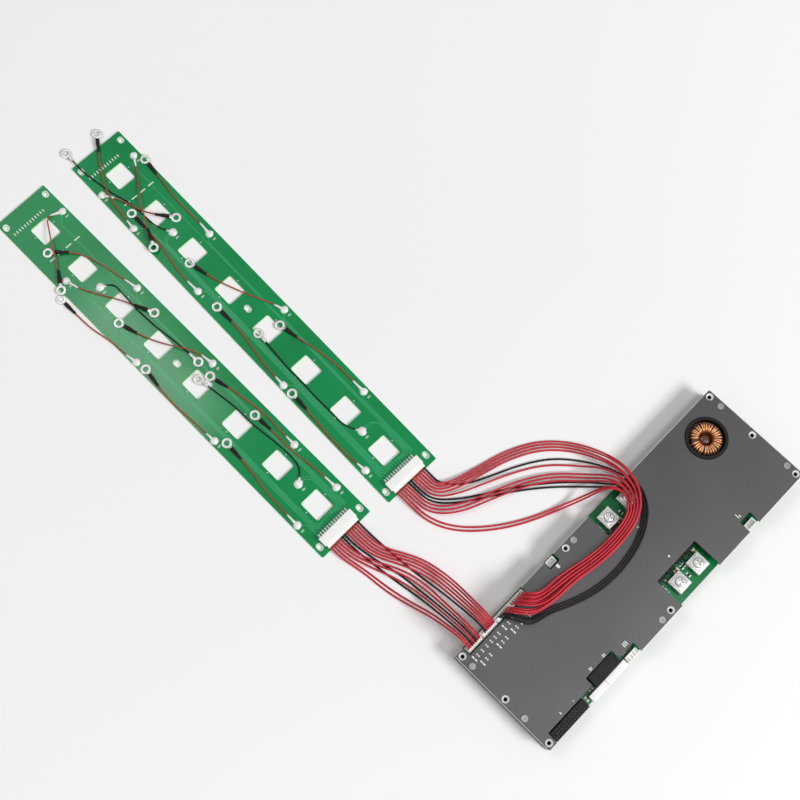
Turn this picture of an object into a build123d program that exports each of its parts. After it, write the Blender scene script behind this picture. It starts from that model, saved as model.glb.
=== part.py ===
from build123d import *
import math
import os

# Battery management board: a control unit under a heatsink cover and two cell tap boards,
# joined by two wire harnesses. Millimetres, +Z up. The origin is the centre of the unit's
# footprint on the bench, +X runs along the unit and +Y points to the tap boards.

PARTS = "parts"

# Control unit: plates, levels and fasteners
UNIT_LENGTH = 300.0
UNIT_WIDTH = 100.0
LEFT_END = -150.0
RIGHT_END = LEFT_END + UNIT_LENGTH
PLATE_CORNER = 2.0
BASE_THICKNESS = 2.0
BASE_TO_BOARD = 4.0
UNIT_BOARD_THICKNESS = 2.0
UNIT_BOARD_INSET = 0.8
BOARD_TO_COVER = 7.5
COVER_THICKNESS = 2.5
COVER_BEVEL = 0.4

BOARD_BOTTOM = BASE_THICKNESS + BASE_TO_BOARD
BOARD_TOP = BOARD_BOTTOM + UNIT_BOARD_THICKNESS
COVER_BOTTOM = BOARD_TOP + BOARD_TO_COVER
COVER_TOP = COVER_BOTTOM + COVER_THICKNESS

MOUNT_INSET = 4.5
MOUNT_HOLE = 3.2
COUNTERSINK = 6.0
SPACER_ACROSS = 6.0
SPACER_BORE = MOUNT_HOLE
LEFT_X = LEFT_END + MOUNT_INSET
RIGHT_X = RIGHT_END - MOUNT_INSET
MOUNT_Y = UNIT_WIDTH / 2 - MOUNT_INSET
MOUNT_HOLES = [
    (LEFT_X, -MOUNT_Y), (LEFT_X, 0), (LEFT_X, MOUNT_Y),
    (RIGHT_X, -MOUNT_Y), (RIGHT_X, 0), (RIGHT_X, MOUNT_Y),
    (-6, -MOUNT_Y), (-28, MOUNT_Y),
]

COVER_SCREWS = [
    (LEFT_X, -20), (LEFT_X, 35), (RIGHT_X, -36), (RIGHT_X, 34),
    (-16.5, -MOUNT_Y), (-19, MOUNT_Y),
]
SCREW_DIAMETER = 3.0
SCREW_HOLE = 3.2
SCREW_BORE = 3.1
SCREW_HEAD = 5.5
SCREW_HEAD_HEIGHT = 0.7
SCREW_HEAD_BEVEL = 0.25
SCREW_RECESS = (3.0, 0.8, 0.4)
SCREW_REACH = 7.0
SCREW_BORE_SPARE = 0.5
POST_ACROSS = 6.0
POST_NECK = 2.8
POST_HOLE = POST_NECK + 0.6

# Openings in the cover: x limits and y limits, run past the plate where they reach its edge
PAST = 5.0
CUT_CORNER = 0.8
EDGE = UNIT_WIDTH / 2
PACK_OPENING = ((3.0, 48.0), (-EDGE - PAST, -23.0))
BATTERY_OPENING = ((3.0, 47.0), (28.0, EDGE + PAST))
BALANCE_OPENING = ((-141.0, -75.0), (42.0, EDGE + PAST))
LEFT_SOCKET_OPENING = ((-49.0, -38.0), (42.5, EDGE + PAST))
RIGHT_SOCKET_INSET = 60.0
RIGHT_SOCKET_X = RIGHT_END - RIGHT_SOCKET_INSET
RIGHT_SOCKET_OPENING = ((RIGHT_SOCKET_X - 6.0, RIGHT_SOCKET_X + 6.0), (-EDGE - PAST, -39.0))
STEPPED_OPENING = [
    ((-141.0, -90.5), (-EDGE - PAST, -40.0)),
    ((-91.0, -61.5), (-EDGE - PAST, -33.0)),
    ((-62.0, -45.0), (-EDGE - PAST, -41.0)),
]

# Choke: a wound ring core in a potting cup
CHOKE_INSET = 32.5
CHOKE_Y = 24.8
CHOKE_CENTRE = (RIGHT_END - CHOKE_INSET, CHOKE_Y)
CUP_DIAMETER = 35.0
CUP_WALL = 2.5
CUP_FLOOR = 1.0
CUP_PROUD = 1.5
CUP_CLEARANCE = 0.3
CUP_BEVEL = 0.5
TURN_THICKNESS = 1.1
TURN_CLEARANCE = 0.3
TURN_BEVEL = 1.2
WINDING_TO_CUP = 1.4
CORE_OUTER = CUP_DIAMETER - 2 * (CUP_WALL + WINDING_TO_CUP + TURN_THICKNESS + TURN_CLEARANCE)
CORE_WIDTH = 5.0
CORE_INNER = CORE_OUTER - 2 * CORE_WIDTH
CORE_BEVEL = 0.8
TURN_COUNT = 30
TURN_GAP_CENTRE = 145.0
TURN_GAP = 25.0
TURN_SHARE = 0.72
WINDING_TOP = 18.8

# Power terminals and the transistors behind them
PACK_TERMINALS = [(16.2, -36.5), (37.4, -36.8)]
BATTERY_TERMINALS = [(14.7, 37.6), (37.3, 37.2)]
TERMINAL_SIZE = 13.8
TERMINAL_HEIGHT = 6.2
TERMINAL_SHEET = 1.2
TERMINAL_FOLD = 1.0
TERMINAL_ARCH = (4.8, 2.4)
TERMINAL_BOSS = 7.6
TERMINAL_BOSS_DEPTH = 2.0
TERMINAL_BORE = 5.2
TERMINAL_SCREW = 4.6
TERMINAL_SCREW_END = 0.6
TERMINAL_HEAD = 8.6
TERMINAL_HEAD_HEIGHT = 2.0
TERMINAL_HEAD_BEVEL = 0.7
WASHER_SIZE = 10.6
WASHER_THICKNESS = 1.0
WASHER_BEVEL = 1.2
CROSS_LENGTH = 6.0
CROSS_WIDTH = 1.2
CROSS_DEPTH = 1.2

TRANSISTOR_X = (8.5, 19.5, 30.5, 41.5)
TRANSISTOR_ROWS = [(-21.6, -1), (23.0, 1)]
TRANSISTOR_BODY = (9.4, 8.6, 2.4)
TRANSISTOR_BEVEL = 0.4
TRANSISTOR_TAB = (7.9, 1.3, 1.2)
TRANSISTOR_LEG = (0.9, 2.9, 0.6)
TRANSISTOR_LEG_SPREAD = 2.54

# Sockets and blocks on the unit's board
BALANCE_X = (-132.0, -115.9, -99.8, -83.7)
BALANCE_Y = 46.0
BALANCE_HEADER = (15.6, 5.8, 7.6)
BALANCE_WALL = 0.65
BALANCE_FLOOR = 1.0
BALANCE_SLOT = (1.6, 4.2)
BALANCE_SLOT_X = 4.7
PLUG_CLEARANCE = 0.1
PLUG_TOP = 17.8
PLUG_RIB = (0.8, 0.25)
WIRE_END_GAP = 0.05
BALANCE_POSITIONS = 7
BALANCE_PITCH = 2.0

SIDE_SOCKETS = [(-43.5, 46.6, 7.8), (RIGHT_SOCKET_X, -46.0, 9.8)]
SIDE_PIN_COUNTS = (2, 3)
SIDE_SOCKET_DEPTH = 5.6
SIDE_SOCKET_HEIGHT = 7.2
SIDE_SOCKET_WALL = 0.7
SIDE_SOCKET_FLOOR = 1.0
SIDE_PIN = 0.64
SIDE_PITCH = 2.5
PIN_RISE = 4.4

RELAY_BODY = ((-89.6, -62.4), (-43.8, -33.6), (BOARD_TOP, 16.6))
RELAY_BEVEL = 0.7
LONG_SOCKETS = [(-98.8, -81.1), (-80.9, -59.2)]
LONG_SOCKET_Y = (-50.2, -44.4)
LONG_SOCKET_TOP = 14.4
LONG_SOCKET_WALL = 1.1
LONG_SOCKET_ROOF = 1.5
LONG_SOCKET_BEVEL = 0.3
SLOTTED_BODY = ((-57.8, -45.8), (-50.0, -44.6), (BOARD_TOP, 13.6))
SLOT_COUNT = 4
SLOT_SIZE = (1.2, 3.4, 2.6)
MULTI_PIN_BODY = ((-140.3, -103.6), (-50.0, -41.2), (BOARD_TOP, 13.4))
MULTI_PIN_COLUMNS = 14
MULTI_PIN_ROWS = 3
MULTI_PIN_PITCH = 2.54
MULTI_PIN_HOLE = 1.1
MULTI_PIN_DEPTH = 1.6
MULTI_PIN_BEVEL = 0.4

# Tap boards, their headers and plugs
TAP_WIDTH = 53.4
TAP_LENGTH = 407.0
TAP_THICKNESS = 1.6
TAP_CORNER = 1.0
TAP_HALF = TAP_LENGTH / 2
TAP_A_END = (-141.07, 178.50)
TAP_A_TURN = -0.3
TAP_B_END = (-72.10, 171.62)
TAP_B_TURN = -2.0
TAP_A_PLACE = Pos(*TAP_A_END, 0) * Rot(0, 0, TAP_A_TURN) * Pos(0, TAP_HALF, 0)
TAP_B_PLACE = Pos(*TAP_B_END, 0) * Rot(0, 0, TAP_B_TURN) * Pos(0, TAP_HALF, 0)
WINDOW_SIZE = 17.0
WINDOW_CORNER = 2.5
WINDOW_COUNT = 8
WINDOW_PITCH = 48.3
WINDOW_FIRST_Y = 168.3
CORNER_SLOT_INSET = (4.3, 8.0)
CORNER_SLOT_X = TAP_WIDTH / 2 - CORNER_SLOT_INSET[0]
CORNER_SLOT_Y = TAP_HALF - CORNER_SLOT_INSET[1]
CORNER_SLOT = (3.6, 5.5)
MIDDLE_SLOT = (3.5, 6.0)

HEADER_X = -1.4
HEADER_WIDTH = 34.9
HEADER_DEPTH = 8.2
HEADER_INSET = 4.5
HEADER_FRONT = HEADER_INSET - TAP_HALF
HEADER_BACK = HEADER_FRONT + HEADER_DEPTH
HEADER_TOP = 7.6
HEADER_WALL = 0.8
HEADER_BEVEL = 0.4
HEADER_BACK_WALL = 2.2
PLUG_REACH = 3.3
PLUG_FRONT = HEADER_FRONT - PLUG_REACH
PLUG_HEIGHT = 4.2
PLUG_AXIS_Z = 4.6
TAP_WIRE_GAP = 0.2
TAP_POSITIONS = 13
TAP_PITCH = 2.5
FOOT = (0.8, 2.8, 0.6)

# Leads, ring terminals, sleeves and solder joints on the tap boards
WIRE_DIAMETER = 1.6
LEAD_DIAMETER = 1.2
LEAD_REST = 2.5
RING_OUTER = 8.8
RING_HOLE = 4.3
RING_THICKNESS = 0.8
RING_DROP = 1.6
NECK_WIDTH = 2.4
NECK_ROOT = RING_HOLE / 2 + 0.9
NECK_LAP = 0.3
NECK_TOP_SHARE = 0.6
BARREL_START = 5.4
BARREL_END = 10.4
BARREL_DIAMETER = 2.2
SENSOR_BARREL_DIAMETER = 2.6
SLEEVE_START = 5.8
SLEEVE_END = 18.4
SLEEVE_WIDE = 3.5
SLEEVE_NARROW = 2.5
SLEEVE_BARREL_BORE = BARREL_DIAMETER + 0.6
SLEEVE_LEAD_BORE = LEAD_DIAMETER + 0.6
SLEEVE_TAPER = (11.6, 13.8)
JOINT_DIAMETER = 6.4
JOINT_HEIGHT = 1.8
JOINT_SHOULDER = 1.1
JOINT_TAIL = 5.5
JOINT_TAIL_WIDE = 3.4
JOINT_TAIL_NARROW = 1.9
JOINT_TAIL_BEVEL = 0.5
JOINT_SLOPE = 30.0

# Bends take this share of the shorter run beside them
BEND_SHARE = 0.45

# Wire routes from each tap board's plug to the balance plugs, wires counted from the plug's
# +X end
HARNESS_A_ROUTES = {
    1: [
        (-127.5, 179.7, 4.6), (-127.6, 168, 3), (-126.6, 150, 0.9), (-124.6, 124, 0.9),
        (-122, 104, 2.8), (-120.7, 86, 14.7), (-120.2, 70, 27.2), (-119.8, 58.5, 32.7),
        (-119.9, 50.5, 31.3), (-119.9, 46.3, 24.2), (-119.9, 46, 17.8),
    ],
    2: [
        (-130, 179.7, 4.6), (-130.1, 168, 4.6), (-128.3, 150, 3.3), (-113.2, 124, 3),
        (-108.6, 104, 5.2), (-107.9, 86, 13.3), (-109.2, 70, 25.8), (-109.8, 58.5, 31.3),
        (-109.9, 50.5, 29.9), (-109.9, 46.3, 24.2), (-109.9, 46, 17.8),
    ],
    3: [
        (-132.5, 179.7, 4.6), (-132.6, 168, 4.6), (-130.9, 150, 3.5), (-115.8, 124, 3.3),
        (-111.2, 104, 4.4), (-110.2, 86, 14.7), (-111.3, 70, 27.2), (-111.8, 58.5, 32.7),
        (-111.9, 50.5, 31.3), (-111.9, 46.3, 24.2), (-111.9, 46, 17.8),
    ],
    4: [
        (-135, 179.7, 4.6), (-135.1, 168, 4.6), (-133.4, 150, 3.2), (-118.3, 124, 2.9),
        (-113.4, 104, 4.4), (-112.8, 86, 13.3), (-113.5, 70, 25.8), (-113.8, 58.5, 31.3),
        (-113.9, 50.5, 29.9), (-113.9, 46.3, 24.2), (-113.9, 46, 17.8),
    ],
    5: [
        (-137.5, 179.7, 4.6), (-137.6, 168, 4.6), (-135.8, 150, 3.6), (-121.2, 124, 3.2),
        (-116.1, 104, 4.4), (-115.3, 86, 14.7), (-115.7, 70, 27.2), (-115.8, 58.5, 32.7),
        (-115.9, 50.5, 31.3), (-115.9, 46.3, 24.2), (-115.9, 46, 17.8),
    ],
    6: [
        (-140, 179.7, 4.6), (-140.1, 168, 4.6), (-138.2, 150, 3.3), (-124.4, 124, 3.4),
        (-118.7, 104, 4.4), (-117.9, 86, 13.3), (-117.9, 70, 25.8), (-117.8, 58.5, 31.3),
        (-117.9, 50.5, 29.9), (-117.9, 46.3, 24.2), (-117.9, 46, 17.8),
    ],
    7: [
        (-142.5, 179.7, 4.6), (-142.6, 168, 2.8), (-139.6, 150, 0.9), (-133.2, 124, 0.9),
        (-131.4, 104, 2.6), (-130.4, 86, 14.7), (-130.1, 70, 27.2), (-129.9, 58.5, 32.7),
        (-130, 50.5, 31.3), (-130, 46.3, 24.2), (-130, 46, 17.8),
    ],
    8: [
        (-145, 179.7, 4.6), (-145.1, 168, 2.6), (-143.2, 150, 0.9), (-139.6, 124, 0.9),
        (-136.2, 104, 2.6), (-134.9, 86, 13.3), (-134.3, 70, 25.8), (-133.9, 58.5, 31.3),
        (-134, 50.5, 29.9), (-134, 46.3, 24.2), (-134, 46, 17.8),
    ],
    9: [
        (-147.5, 179.7, 4.6), (-147.6, 168, 4.6), (-142.2, 150, 3.4), (-128.4, 124, 3.1),
        (-125, 104, 5), (-125.3, 86, 14.7), (-125.8, 70, 27.2), (-125.9, 58.5, 32.7),
        (-126, 50.5, 31.3), (-126, 46.3, 24.2), (-126, 46, 17.8),
    ],
    10: [
        (-150, 179.7, 4.6), (-150.1, 168, 4.6), (-145, 150, 3.2), (-131.6, 124, 3.3),
        (-128.2, 104, 4.4), (-127.7, 86, 13.3), (-127.9, 70, 25.8), (-127.9, 58.5, 31.3),
        (-128, 50.5, 29.9), (-128, 46.3, 24.2), (-128, 46, 17.8),
    ],
    11: [
        (-152.5, 179.7, 4.6), (-152.6, 168, 4.6), (-147.7, 150, 3.5), (-137.6, 124, 3.2),
        (-133.7, 104, 4.4), (-132.6, 86, 14.7), (-132.2, 70, 27.2), (-131.9, 58.5, 32.7),
        (-132, 50.5, 31.3), (-132, 46.3, 24.2), (-132, 46, 17.8),
    ],
    12: [
        (-155, 179.7, 4.6), (-155.1, 168, 4.6), (-151, 150, 1), (-147.6, 124, 0.9),
        (-143.4, 104, 4.4), (-138.6, 86, 13.3), (-136.9, 70, 25.8), (-135.9, 58.5, 31.3),
        (-136, 50.5, 29.9), (-136, 46.3, 24.2), (-136, 46, 17.8),
    ],
    13: [
        (-157.5, 179.7, 4.6), (-157.6, 168, 4.6), (-153.4, 150, 0.9), (-150.8, 124, 1),
        (-146.3, 104, 4.4), (-141.5, 86, 14.7), (-139.2, 70, 27.2), (-137.9, 58.5, 32.7),
        (-138, 50.5, 31.3), (-138, 46.3, 24.2), (-138, 46, 17.8),
    ],
}
HARNESS_B_ROUTES = {
    1: [
        (-58.5, 172.3, 4.6), (-58.6, 163.5, 3.6), (-58, 154, 0.9), (-45, 139, 0.9),
        (-24, 128.6, 0.9), (0, 117.6, 0.9), (22, 103, 0.9), (38, 83, 1.6),
        (45.4, 66, 9.5), (46.8, 52.6, 19.9), (51.6, 38.2, 19.1), (42.6, 20.6, 19.1),
        (22.5, 7.6, 19.1), (-3.5, 2.2, 19.1), (-29.5, 2.8, 19.1), (-54, 10, 19.1),
        (-75.5, 20.8, 19.3), (-91.8, 23.8, 23.2), (-98.8, 38, 29.3), (-102.8, 43.8, 26.8),
        (-103.7, 45.8, 22.4), (-103.8, 46, 17.8),
    ],
    2: [
        (-61, 172.4, 4.6), (-61.2, 163.5, 4.8), (-60.3, 154.4, 4), (-49, 147.5, 3.2),
        (-28, 142, 1.1), (0, 134.5, 0.9), (26, 120, 0.9), (45, 98, 1.2),
        (53.6, 70, 15.4), (53, 49, 22.2), (46, 32.5, 22.2), (31, 20.5, 21.4),
        (9, 16.6, 19.5), (-17, 17.6, 19.5), (-42.5, 22.6, 19.5), (-64, 23.5, 20.3),
        (-85, 28.2, 25.2), (-92.8, 38.2, 29.5), (-96.8, 43.8, 26.9), (-97.7, 45.8, 22.4),
        (-97.8, 46, 17.8),
    ],
    3: [
        (-63.5, 172.5, 4.6), (-63.7, 163.3, 4.6), (-62.4, 153.2, 4.2), (-50.3, 145.6, 3.4),
        (-28.4, 139.7, 1.3), (-1.4, 132.4, 0.9), (24.4, 118.3, 0.9), (43.2, 96.6, 1.2),
        (51.4, 69.4, 17.2), (51.5, 49, 24.5), (45.1, 33, 24.5), (30.7, 21.2, 23.7),
        (8.9, 17.4, 21.6), (-16.9, 18.3, 21.6), (-42.3, 23.4, 21.6), (-64, 24.3, 22.4),
        (-83, 28.8, 27.3), (-90.8, 38.2, 31.6), (-94.8, 43.8, 29.3), (-95.7, 45.8, 23.2),
        (-95.8, 46, 17.8),
    ],
    4: [
        (-66, 172.6, 4.6), (-66.2, 163.1, 4.7), (-64.9, 152, 4.4), (-51.6, 143.6, 3.6),
        (-29, 137.4, 1.5), (-2.6, 130.2, 0.9), (22.8, 116.4, 0.9), (41.4, 95.1, 1.2),
        (49.2, 68.9, 15.4), (48.7, 49, 22.2), (43.6, 34.1, 22.2), (30, 22.4, 21.4),
        (8.8, 18.7, 19.5), (-16.7, 19.7, 19.5), (-41.9, 24.9, 19.5), (-64, 25.6, 20.3),
        (-81, 29.9, 25.2), (-88.8, 38.2, 29.5), (-92.8, 43.8, 26.9), (-93.7, 45.8, 22.4),
        (-93.8, 46, 17.8),
    ],
    5: [
        (-68.5, 172.7, 4.6), (-68.7, 162.9, 4.6), (-67.4, 150.9, 4.6), (-53, 141.4, 3.9),
        (-29.8, 135.1, 1.7), (-4, 128, 0.9), (21, 114.4, 0.9), (39.4, 93.6, 1.2),
        (47, 68.4, 17.2), (47.2, 49, 24.5), (42.7, 34.6, 24.5), (29.7, 23.1, 23.7),
        (8.8, 19.5, 21.6), (-16.7, 20.5, 21.6), (-41.6, 25.7, 21.6), (-64, 26.4, 22.4),
        (-76.9, 30.5, 27.3), (-84.7, 38.2, 31.6), (-88.7, 43.8, 29.3), (-89.6, 45.8, 23.2),
        (-89.7, 46, 17.8),
    ],
    6: [
        (-71, 172.7, 4.6), (-71.2, 162.7, 4.7), (-69.8, 149.4, 4.4), (-56, 138.4, 3.6),
        (-32, 127.6, 3), (-8, 117, 1), (14, 103.4, 0.9), (32, 83.5, 1.6),
        (43.4, 65, 16.6), (44.4, 49, 22.2), (41.1, 35.6, 22.2), (29.1, 24.3, 21.4),
        (8.7, 20.9, 19.5), (-16.5, 21.9, 19.5), (-41.2, 27.2, 19.5), (-64, 27.8, 20.3),
        (-74.9, 31.6, 25.2), (-82.7, 38.2, 29.5), (-86.7, 43.8, 26.9), (-87.6, 45.8, 22.4),
        (-87.7, 46, 17.8),
    ],
    7: [
        (-73.5, 172.8, 4.6), (-73.6, 162.6, 3.6), (-71.8, 148.6, 0.9), (-56.5, 134, 0.9),
        (-36, 120.4, 0.9), (-15, 106.6, 0.9), (6, 90, 0.9), (22.5, 74, 1.4),
        (31.6, 62, 8), (36.4, 52.4, 19.9), (49, 38.2, 19.1), (41.1, 22.1, 19.1),
        (21.6, 9.5, 19.1), (-3.7, 4.3, 19.1), (-29.2, 4.9, 19.1), (-53.2, 11.9, 19.1),
        (-74.5, 22.6, 19.3), (-89.8, 25.3, 25.3), (-96.8, 38, 31.4), (-100.8, 43.8, 28.9),
        (-101.7, 45.8, 23.2), (-101.8, 46, 17.8),
    ],
    8: [
        (-76, 172.9, 4.6), (-76.1, 162.5, 3.6), (-74, 147.2, 0.9), (-58.4, 131.6, 0.9),
        (-37.8, 118, 0.9), (-16.8, 104.2, 0.9), (3.8, 87.4, 0.9), (19.8, 71.2, 1.4),
        (28.8, 60.2, 8), (33.8, 52, 19.9), (46, 37.8, 19.1), (39.6, 23.6, 19.1),
        (20.8, 11.4, 19.1), (-3.9, 6.4, 19.1), (-28.9, 7, 19.1), (-52.4, 13.9, 19.1),
        (-73.5, 24.5, 19.3), (-87.8, 26.8, 21.7), (-94.8, 38, 27.8), (-98.8, 43.8, 25.3),
        (-99.7, 45.8, 21.8), (-99.8, 46, 17.8),
    ],
    9: [
        (-78.5, 173, 4.6), (-78.6, 162.4, 4.7), (-76.9, 145.2, 4.1), (-60.4, 130.6, 3.2),
        (-36, 120.2, 3.2), (-11, 109.6, 2.6), (12, 94.8, 3), (29.6, 75, 4.6),
        (38.8, 60.5, 21.4), (42.9, 48.9, 24.5), (40.3, 36.2, 24.5), (28.7, 25, 23.7),
        (8.6, 21.6, 21.6), (-16.4, 22.6, 21.6), (-41, 28, 21.6), (-57, 30, 22.4),
        (-72.9, 32.2, 27.3), (-80.7, 38.2, 31.6), (-84.7, 43.8, 29.3), (-85.6, 45.8, 23.2),
        (-85.7, 46, 17.8),
    ],
    10: [
        (-81, 173.1, 4.6), (-81.1, 162.3, 4.6), (-79.4, 143.4, 4.2), (-62.4, 128.2, 3.2),
        (-37.4, 117.8, 3.2), (-12.6, 107.2, 2.8), (10.3, 92.4, 3.2), (27.6, 73, 4.2),
        (36.6, 59.4, 20.2), (40.2, 48.9, 22.2), (38.7, 37.2, 22.2), (28.1, 26.3, 21.4),
        (8.5, 23, 19.5), (-16.2, 24, 19.5), (-40.6, 29.6, 19.5), (-57, 31.3, 20.3),
        (-70.9, 33.4, 25.2), (-78.7, 38.2, 29.5), (-82.7, 43.8, 26.9), (-83.6, 45.8, 22.4),
        (-83.7, 46, 17.8),
    ],
    11: [
        (-83.5, 173.2, 4.6), (-83.6, 162.2, 4.8), (-81.8, 141.8, 4.3), (-64.4, 125.8, 3.4),
        (-39.2, 115.3, 3.3), (-14.6, 104.8, 3), (8.2, 90.2, 3.3), (25.2, 71.2, 4.6),
        (34.2, 58.4, 21.6), (38.7, 48.9, 24.5), (37.8, 37.7, 24.5), (27.8, 26.9, 23.7),
        (8.4, 23.8, 21.6), (-16.1, 24.8, 21.6), (-40.3, 30.4, 21.6), (-57, 32.1, 22.4),
        (-68.9, 34, 27.3), (-76.7, 38.2, 31.6), (-80.7, 43.8, 29.3), (-81.6, 45.8, 23.2),
        (-81.7, 46, 17.8),
    ],
    12: [
        (-86, 173.3, 4.6), (-86.1, 162.1, 4.4), (-85, 140, 2.2), (-75, 120, 0.9),
        (-56.5, 101.5, 0.9), (-34, 86, 0.9), (-9.5, 74.4, 0.9), (13.5, 64.4, 6.4),
        (30.2, 56.6, 20.8), (35.9, 48.9, 22.2), (36.2, 38.8, 22.2), (27.2, 28.2, 21.4),
        (8.3, 25.2, 19.5), (-16, 26.1, 19.5), (-39.9, 31.9, 19.5), (-53, 34.5, 20.3),
        (-66.9, 35.1, 25.2), (-74.7, 38.2, 29.5), (-78.7, 43.8, 26.9), (-79.6, 45.8, 22.4),
        (-79.7, 46, 17.8),
    ],
    13: [
        (-88.5, 173.4, 4.6), (-88.6, 162, 4.4), (-87.8, 138.8, 2.2), (-77.6, 118.2, 0.9),
        (-58.6, 99.4, 0.9), (-35.8, 83.8, 0.9), (-10.7, 72.2, 0.9), (12, 62.4, 6.8),
        (27.6, 55.8, 22.6), (34.4, 48.9, 24.5), (35.4, 39.3, 24.5), (26.8, 28.9, 23.7),
        (8.3, 25.9, 21.6), (-15.9, 26.9, 21.6), (-39.7, 32.7, 21.6), (-53, 35.2, 22.4),
        (-64.9, 35.7, 27.3), (-72.7, 38.2, 31.6), (-76.7, 43.8, 29.3), (-77.6, 45.8, 23.2),
        (-77.7, 46, 17.8),
    ],
}

# Leads in each tap board's own axes: ring centre, route points and solder joint centre.
# The first point of a route sets the level of its ring and barrel.
LEADS_A = {
    "red_1": (
        (-26.2, 118),
        [(-12, 139.5, 3.5), (-4.5, 153, 8.2), (2.8, 167, 4.5), (8.8, 178, 2.5)],
        (22, 173),
    ),
    "red_2": (
        (-12, 152),
        [(5, 135.5, 3.5), (12, 118, 2.6), (16.5, 98, 2.5)],
        (21, 74),
    ),
    "red_3": (
        (-31.6, 112.5),
        [(-31.2, 88, 1.9), (-30.4, 72, 2.6), (-26.2, 54, 2.6), (-25.5, 38, 2.5)],
        (-23.4, 25),
    ),
    "black_1": (
        (13.5, -12),
        [(12.4, 13, 3.5), (9.5, 31, 2.6), (8.3, 50, 3.2), (8, 67, 6.2), (9, 81, 3), (9.6, 90.5, 2.5)],
        (-1, 97),
    ),
    "red_4": (
        (-11, 61),
        [(-4.2, 36.5, 3.5), (3.5, 20, 3.2), (12.5, 5, 6.7), (19, -6, 2.5)],
        (21, -21),
    ),
    "red_5": (
        (16.5, 46.5),
        [(6.5, 69.5, 3.5), (-1, 84, 2.6), (-9, 98, 2.6), (-14.5, 109, 2.5)],
        (-17.6, 121.9),
    ),
    "red_6": (
        (12, -28),
        [(17.5, -53, 3.5), (20.4, -71, 2.5), (22, -86, 2.5), (21.6, -101, 2.5)],
        (21.3, -120),
    ),
    "black_2": (
        (3.5, -23.5),
        [(7, -48, 3.5), (9, -64, 2.5), (8.6, -81, 2.5), (10.6, -98, 2.5), (12.4, -112, 2.5),
         (13, -126, 2.5), (11.2, -138.5, 2.5)],
        (1, -146),
    ),
    "red_7": (
        (15.5, -79),
        [(16.6, -104, 3.5), (15.9, -120, 2.5), (18.2, -137, 2.5), (20.2, -153, 2.5)],
        (21, -170),
    ),
    "red_8": (
        (-17, -80),
        [(-18.2, -105, 3.5), (-20.5, -122, 2.5), (-22.5, -139, 2.5), (-22.8, -155, 2.5)],
        (-23, -170),
    ),
    "red_9": (
        (-22, 14.5),
        [(-25.2, -10, 3.5), (-25.8, -27, 2.5), (-24.6, -43, 2.5), (-23.6, -57, 2.5)],
        (-23, -71),
    ),
}
LEADS_B = {
    "red_1": (
        (-22.5, 96),
        [(-12, 119.3, 6), (-4.5, 133, 7.4), (5, 149, 4), (13.5, 162, 2.5)],
        (21, 176),
    ),
    "red_2": (
        (26, 166),
        [(23.5, 141, 3.5), (21.2, 124, 2.5), (20.8, 107, 2.5), (21.8, 92, 2.5)],
        (21, 74),
    ),
    "black_1": (
        (-21, 218),
        [(-21.8, 193, 3.5), (-18.6, 177, 2.6), (-16, 161, 2.5), (-11, 146, 2.5), (-9, 130, 2.5),
         (-8.8, 117, 2.5), (-7, 107.5, 2.5)],
        (-1, 97),
    ),
    "red_3": (
        (11, 214),
        [(-2.6, 194.2, 3.5), (-10, 181, 3.8), (-17, 167.5, 5), (-20.8, 153, 4.6), (-22.6, 140, 2.5)],
        (-23.4, 123),
    ),
    "red_4": (
        (10, 105),
        [(-6, 125, 3.5), (-12, 141, 5.2), (-15.8, 153.5, 2.5)],
        (-23.4, 166),
    ),
    "red_5": (
        (-15.5, 134.5),
        [(-15.6, 110, 3.5), (-16.6, 92, 2.5), (-19.5, 76, 2.5), (-21.5, 60, 2.5)],
        (-20.5, 41),
    ),
    "red_6": (
        (-9, 65),
        [(-4, 40.5, 3.5), (2.5, 24, 2.5), (9, 8, 2.5), (16, -6, 2.5)],
        (22, -22),
    ),
    "red_7": (
        (-18, 19),
        [(-17.5, -6, 3.5), (-19.5, -23, 2.5), (-21.8, -40, 2.5), (-23, -55, 2.5)],
        (-23, -71),
    ),
    "red_8": (
        (10, -30),
        [(14.5, -54.6, 3.5), (18.8, -71, 2.5), (21, -88, 2.5), (21.6, -104, 2.5)],
        (22, -121),
    ),
    "black_2": (
        (-8, -23),
        [(-9.5, -48, 3.5), (-10.4, -65, 2.5), (-9.8, -82, 2.5), (-10.4, -99, 2.5),
         (-9.4, -116, 2.5), (-9.8, -132, 2.5)],
        (-2, -145),
    ),
    "red_9": (
        (-22.5, -81.5),
        [(-23.2, -106, 3.5), (-24.4, -123, 2.5), (-24.8, -140, 2.5), (-24.2, -155, 2.5)],
        (-22.3, -171),
    ),
}


def block(x_limits, y_limits, z_limits):
    """Box between its limits along each axis."""
    limits = (x_limits, y_limits, z_limits)
    sides = [high - low for low, high in limits]
    corner = [low for low, high in limits]
    return Pos(*corner) * Box(*sides, align=(Align.MIN, Align.MIN, Align.MIN))


def rod(x, y, z_low, z_high, diameter):
    """Upright cylinder."""
    upright = (Align.CENTER, Align.CENTER, Align.MIN)
    return Pos(x, y, z_low) * Cylinder(diameter / 2, z_high - z_low, align=upright)


def rounded_prism(x_limits, y_limits, z_low, z_high, corner):
    """Upright prism on a rectangle with round corners."""
    width = x_limits[1] - x_limits[0]
    depth = y_limits[1] - y_limits[0]
    outline = RectangleRounded(width, depth, corner)
    middle = (sum(x_limits) / 2, sum(y_limits) / 2)
    return Pos(*middle, z_low) * extrude(outline, z_high - z_low)


def along_x(solid):
    """Turn an upright solid so that its axis runs along +X."""
    return Rot(0, 90, 0) * solid


def save(name, shape):
    """Write one node."""
    export_step(shape, f"{PARTS}/{name}.step")


def group(solids):
    """Several loose solids as one node."""
    return Compound(children=list(solids))


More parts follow.
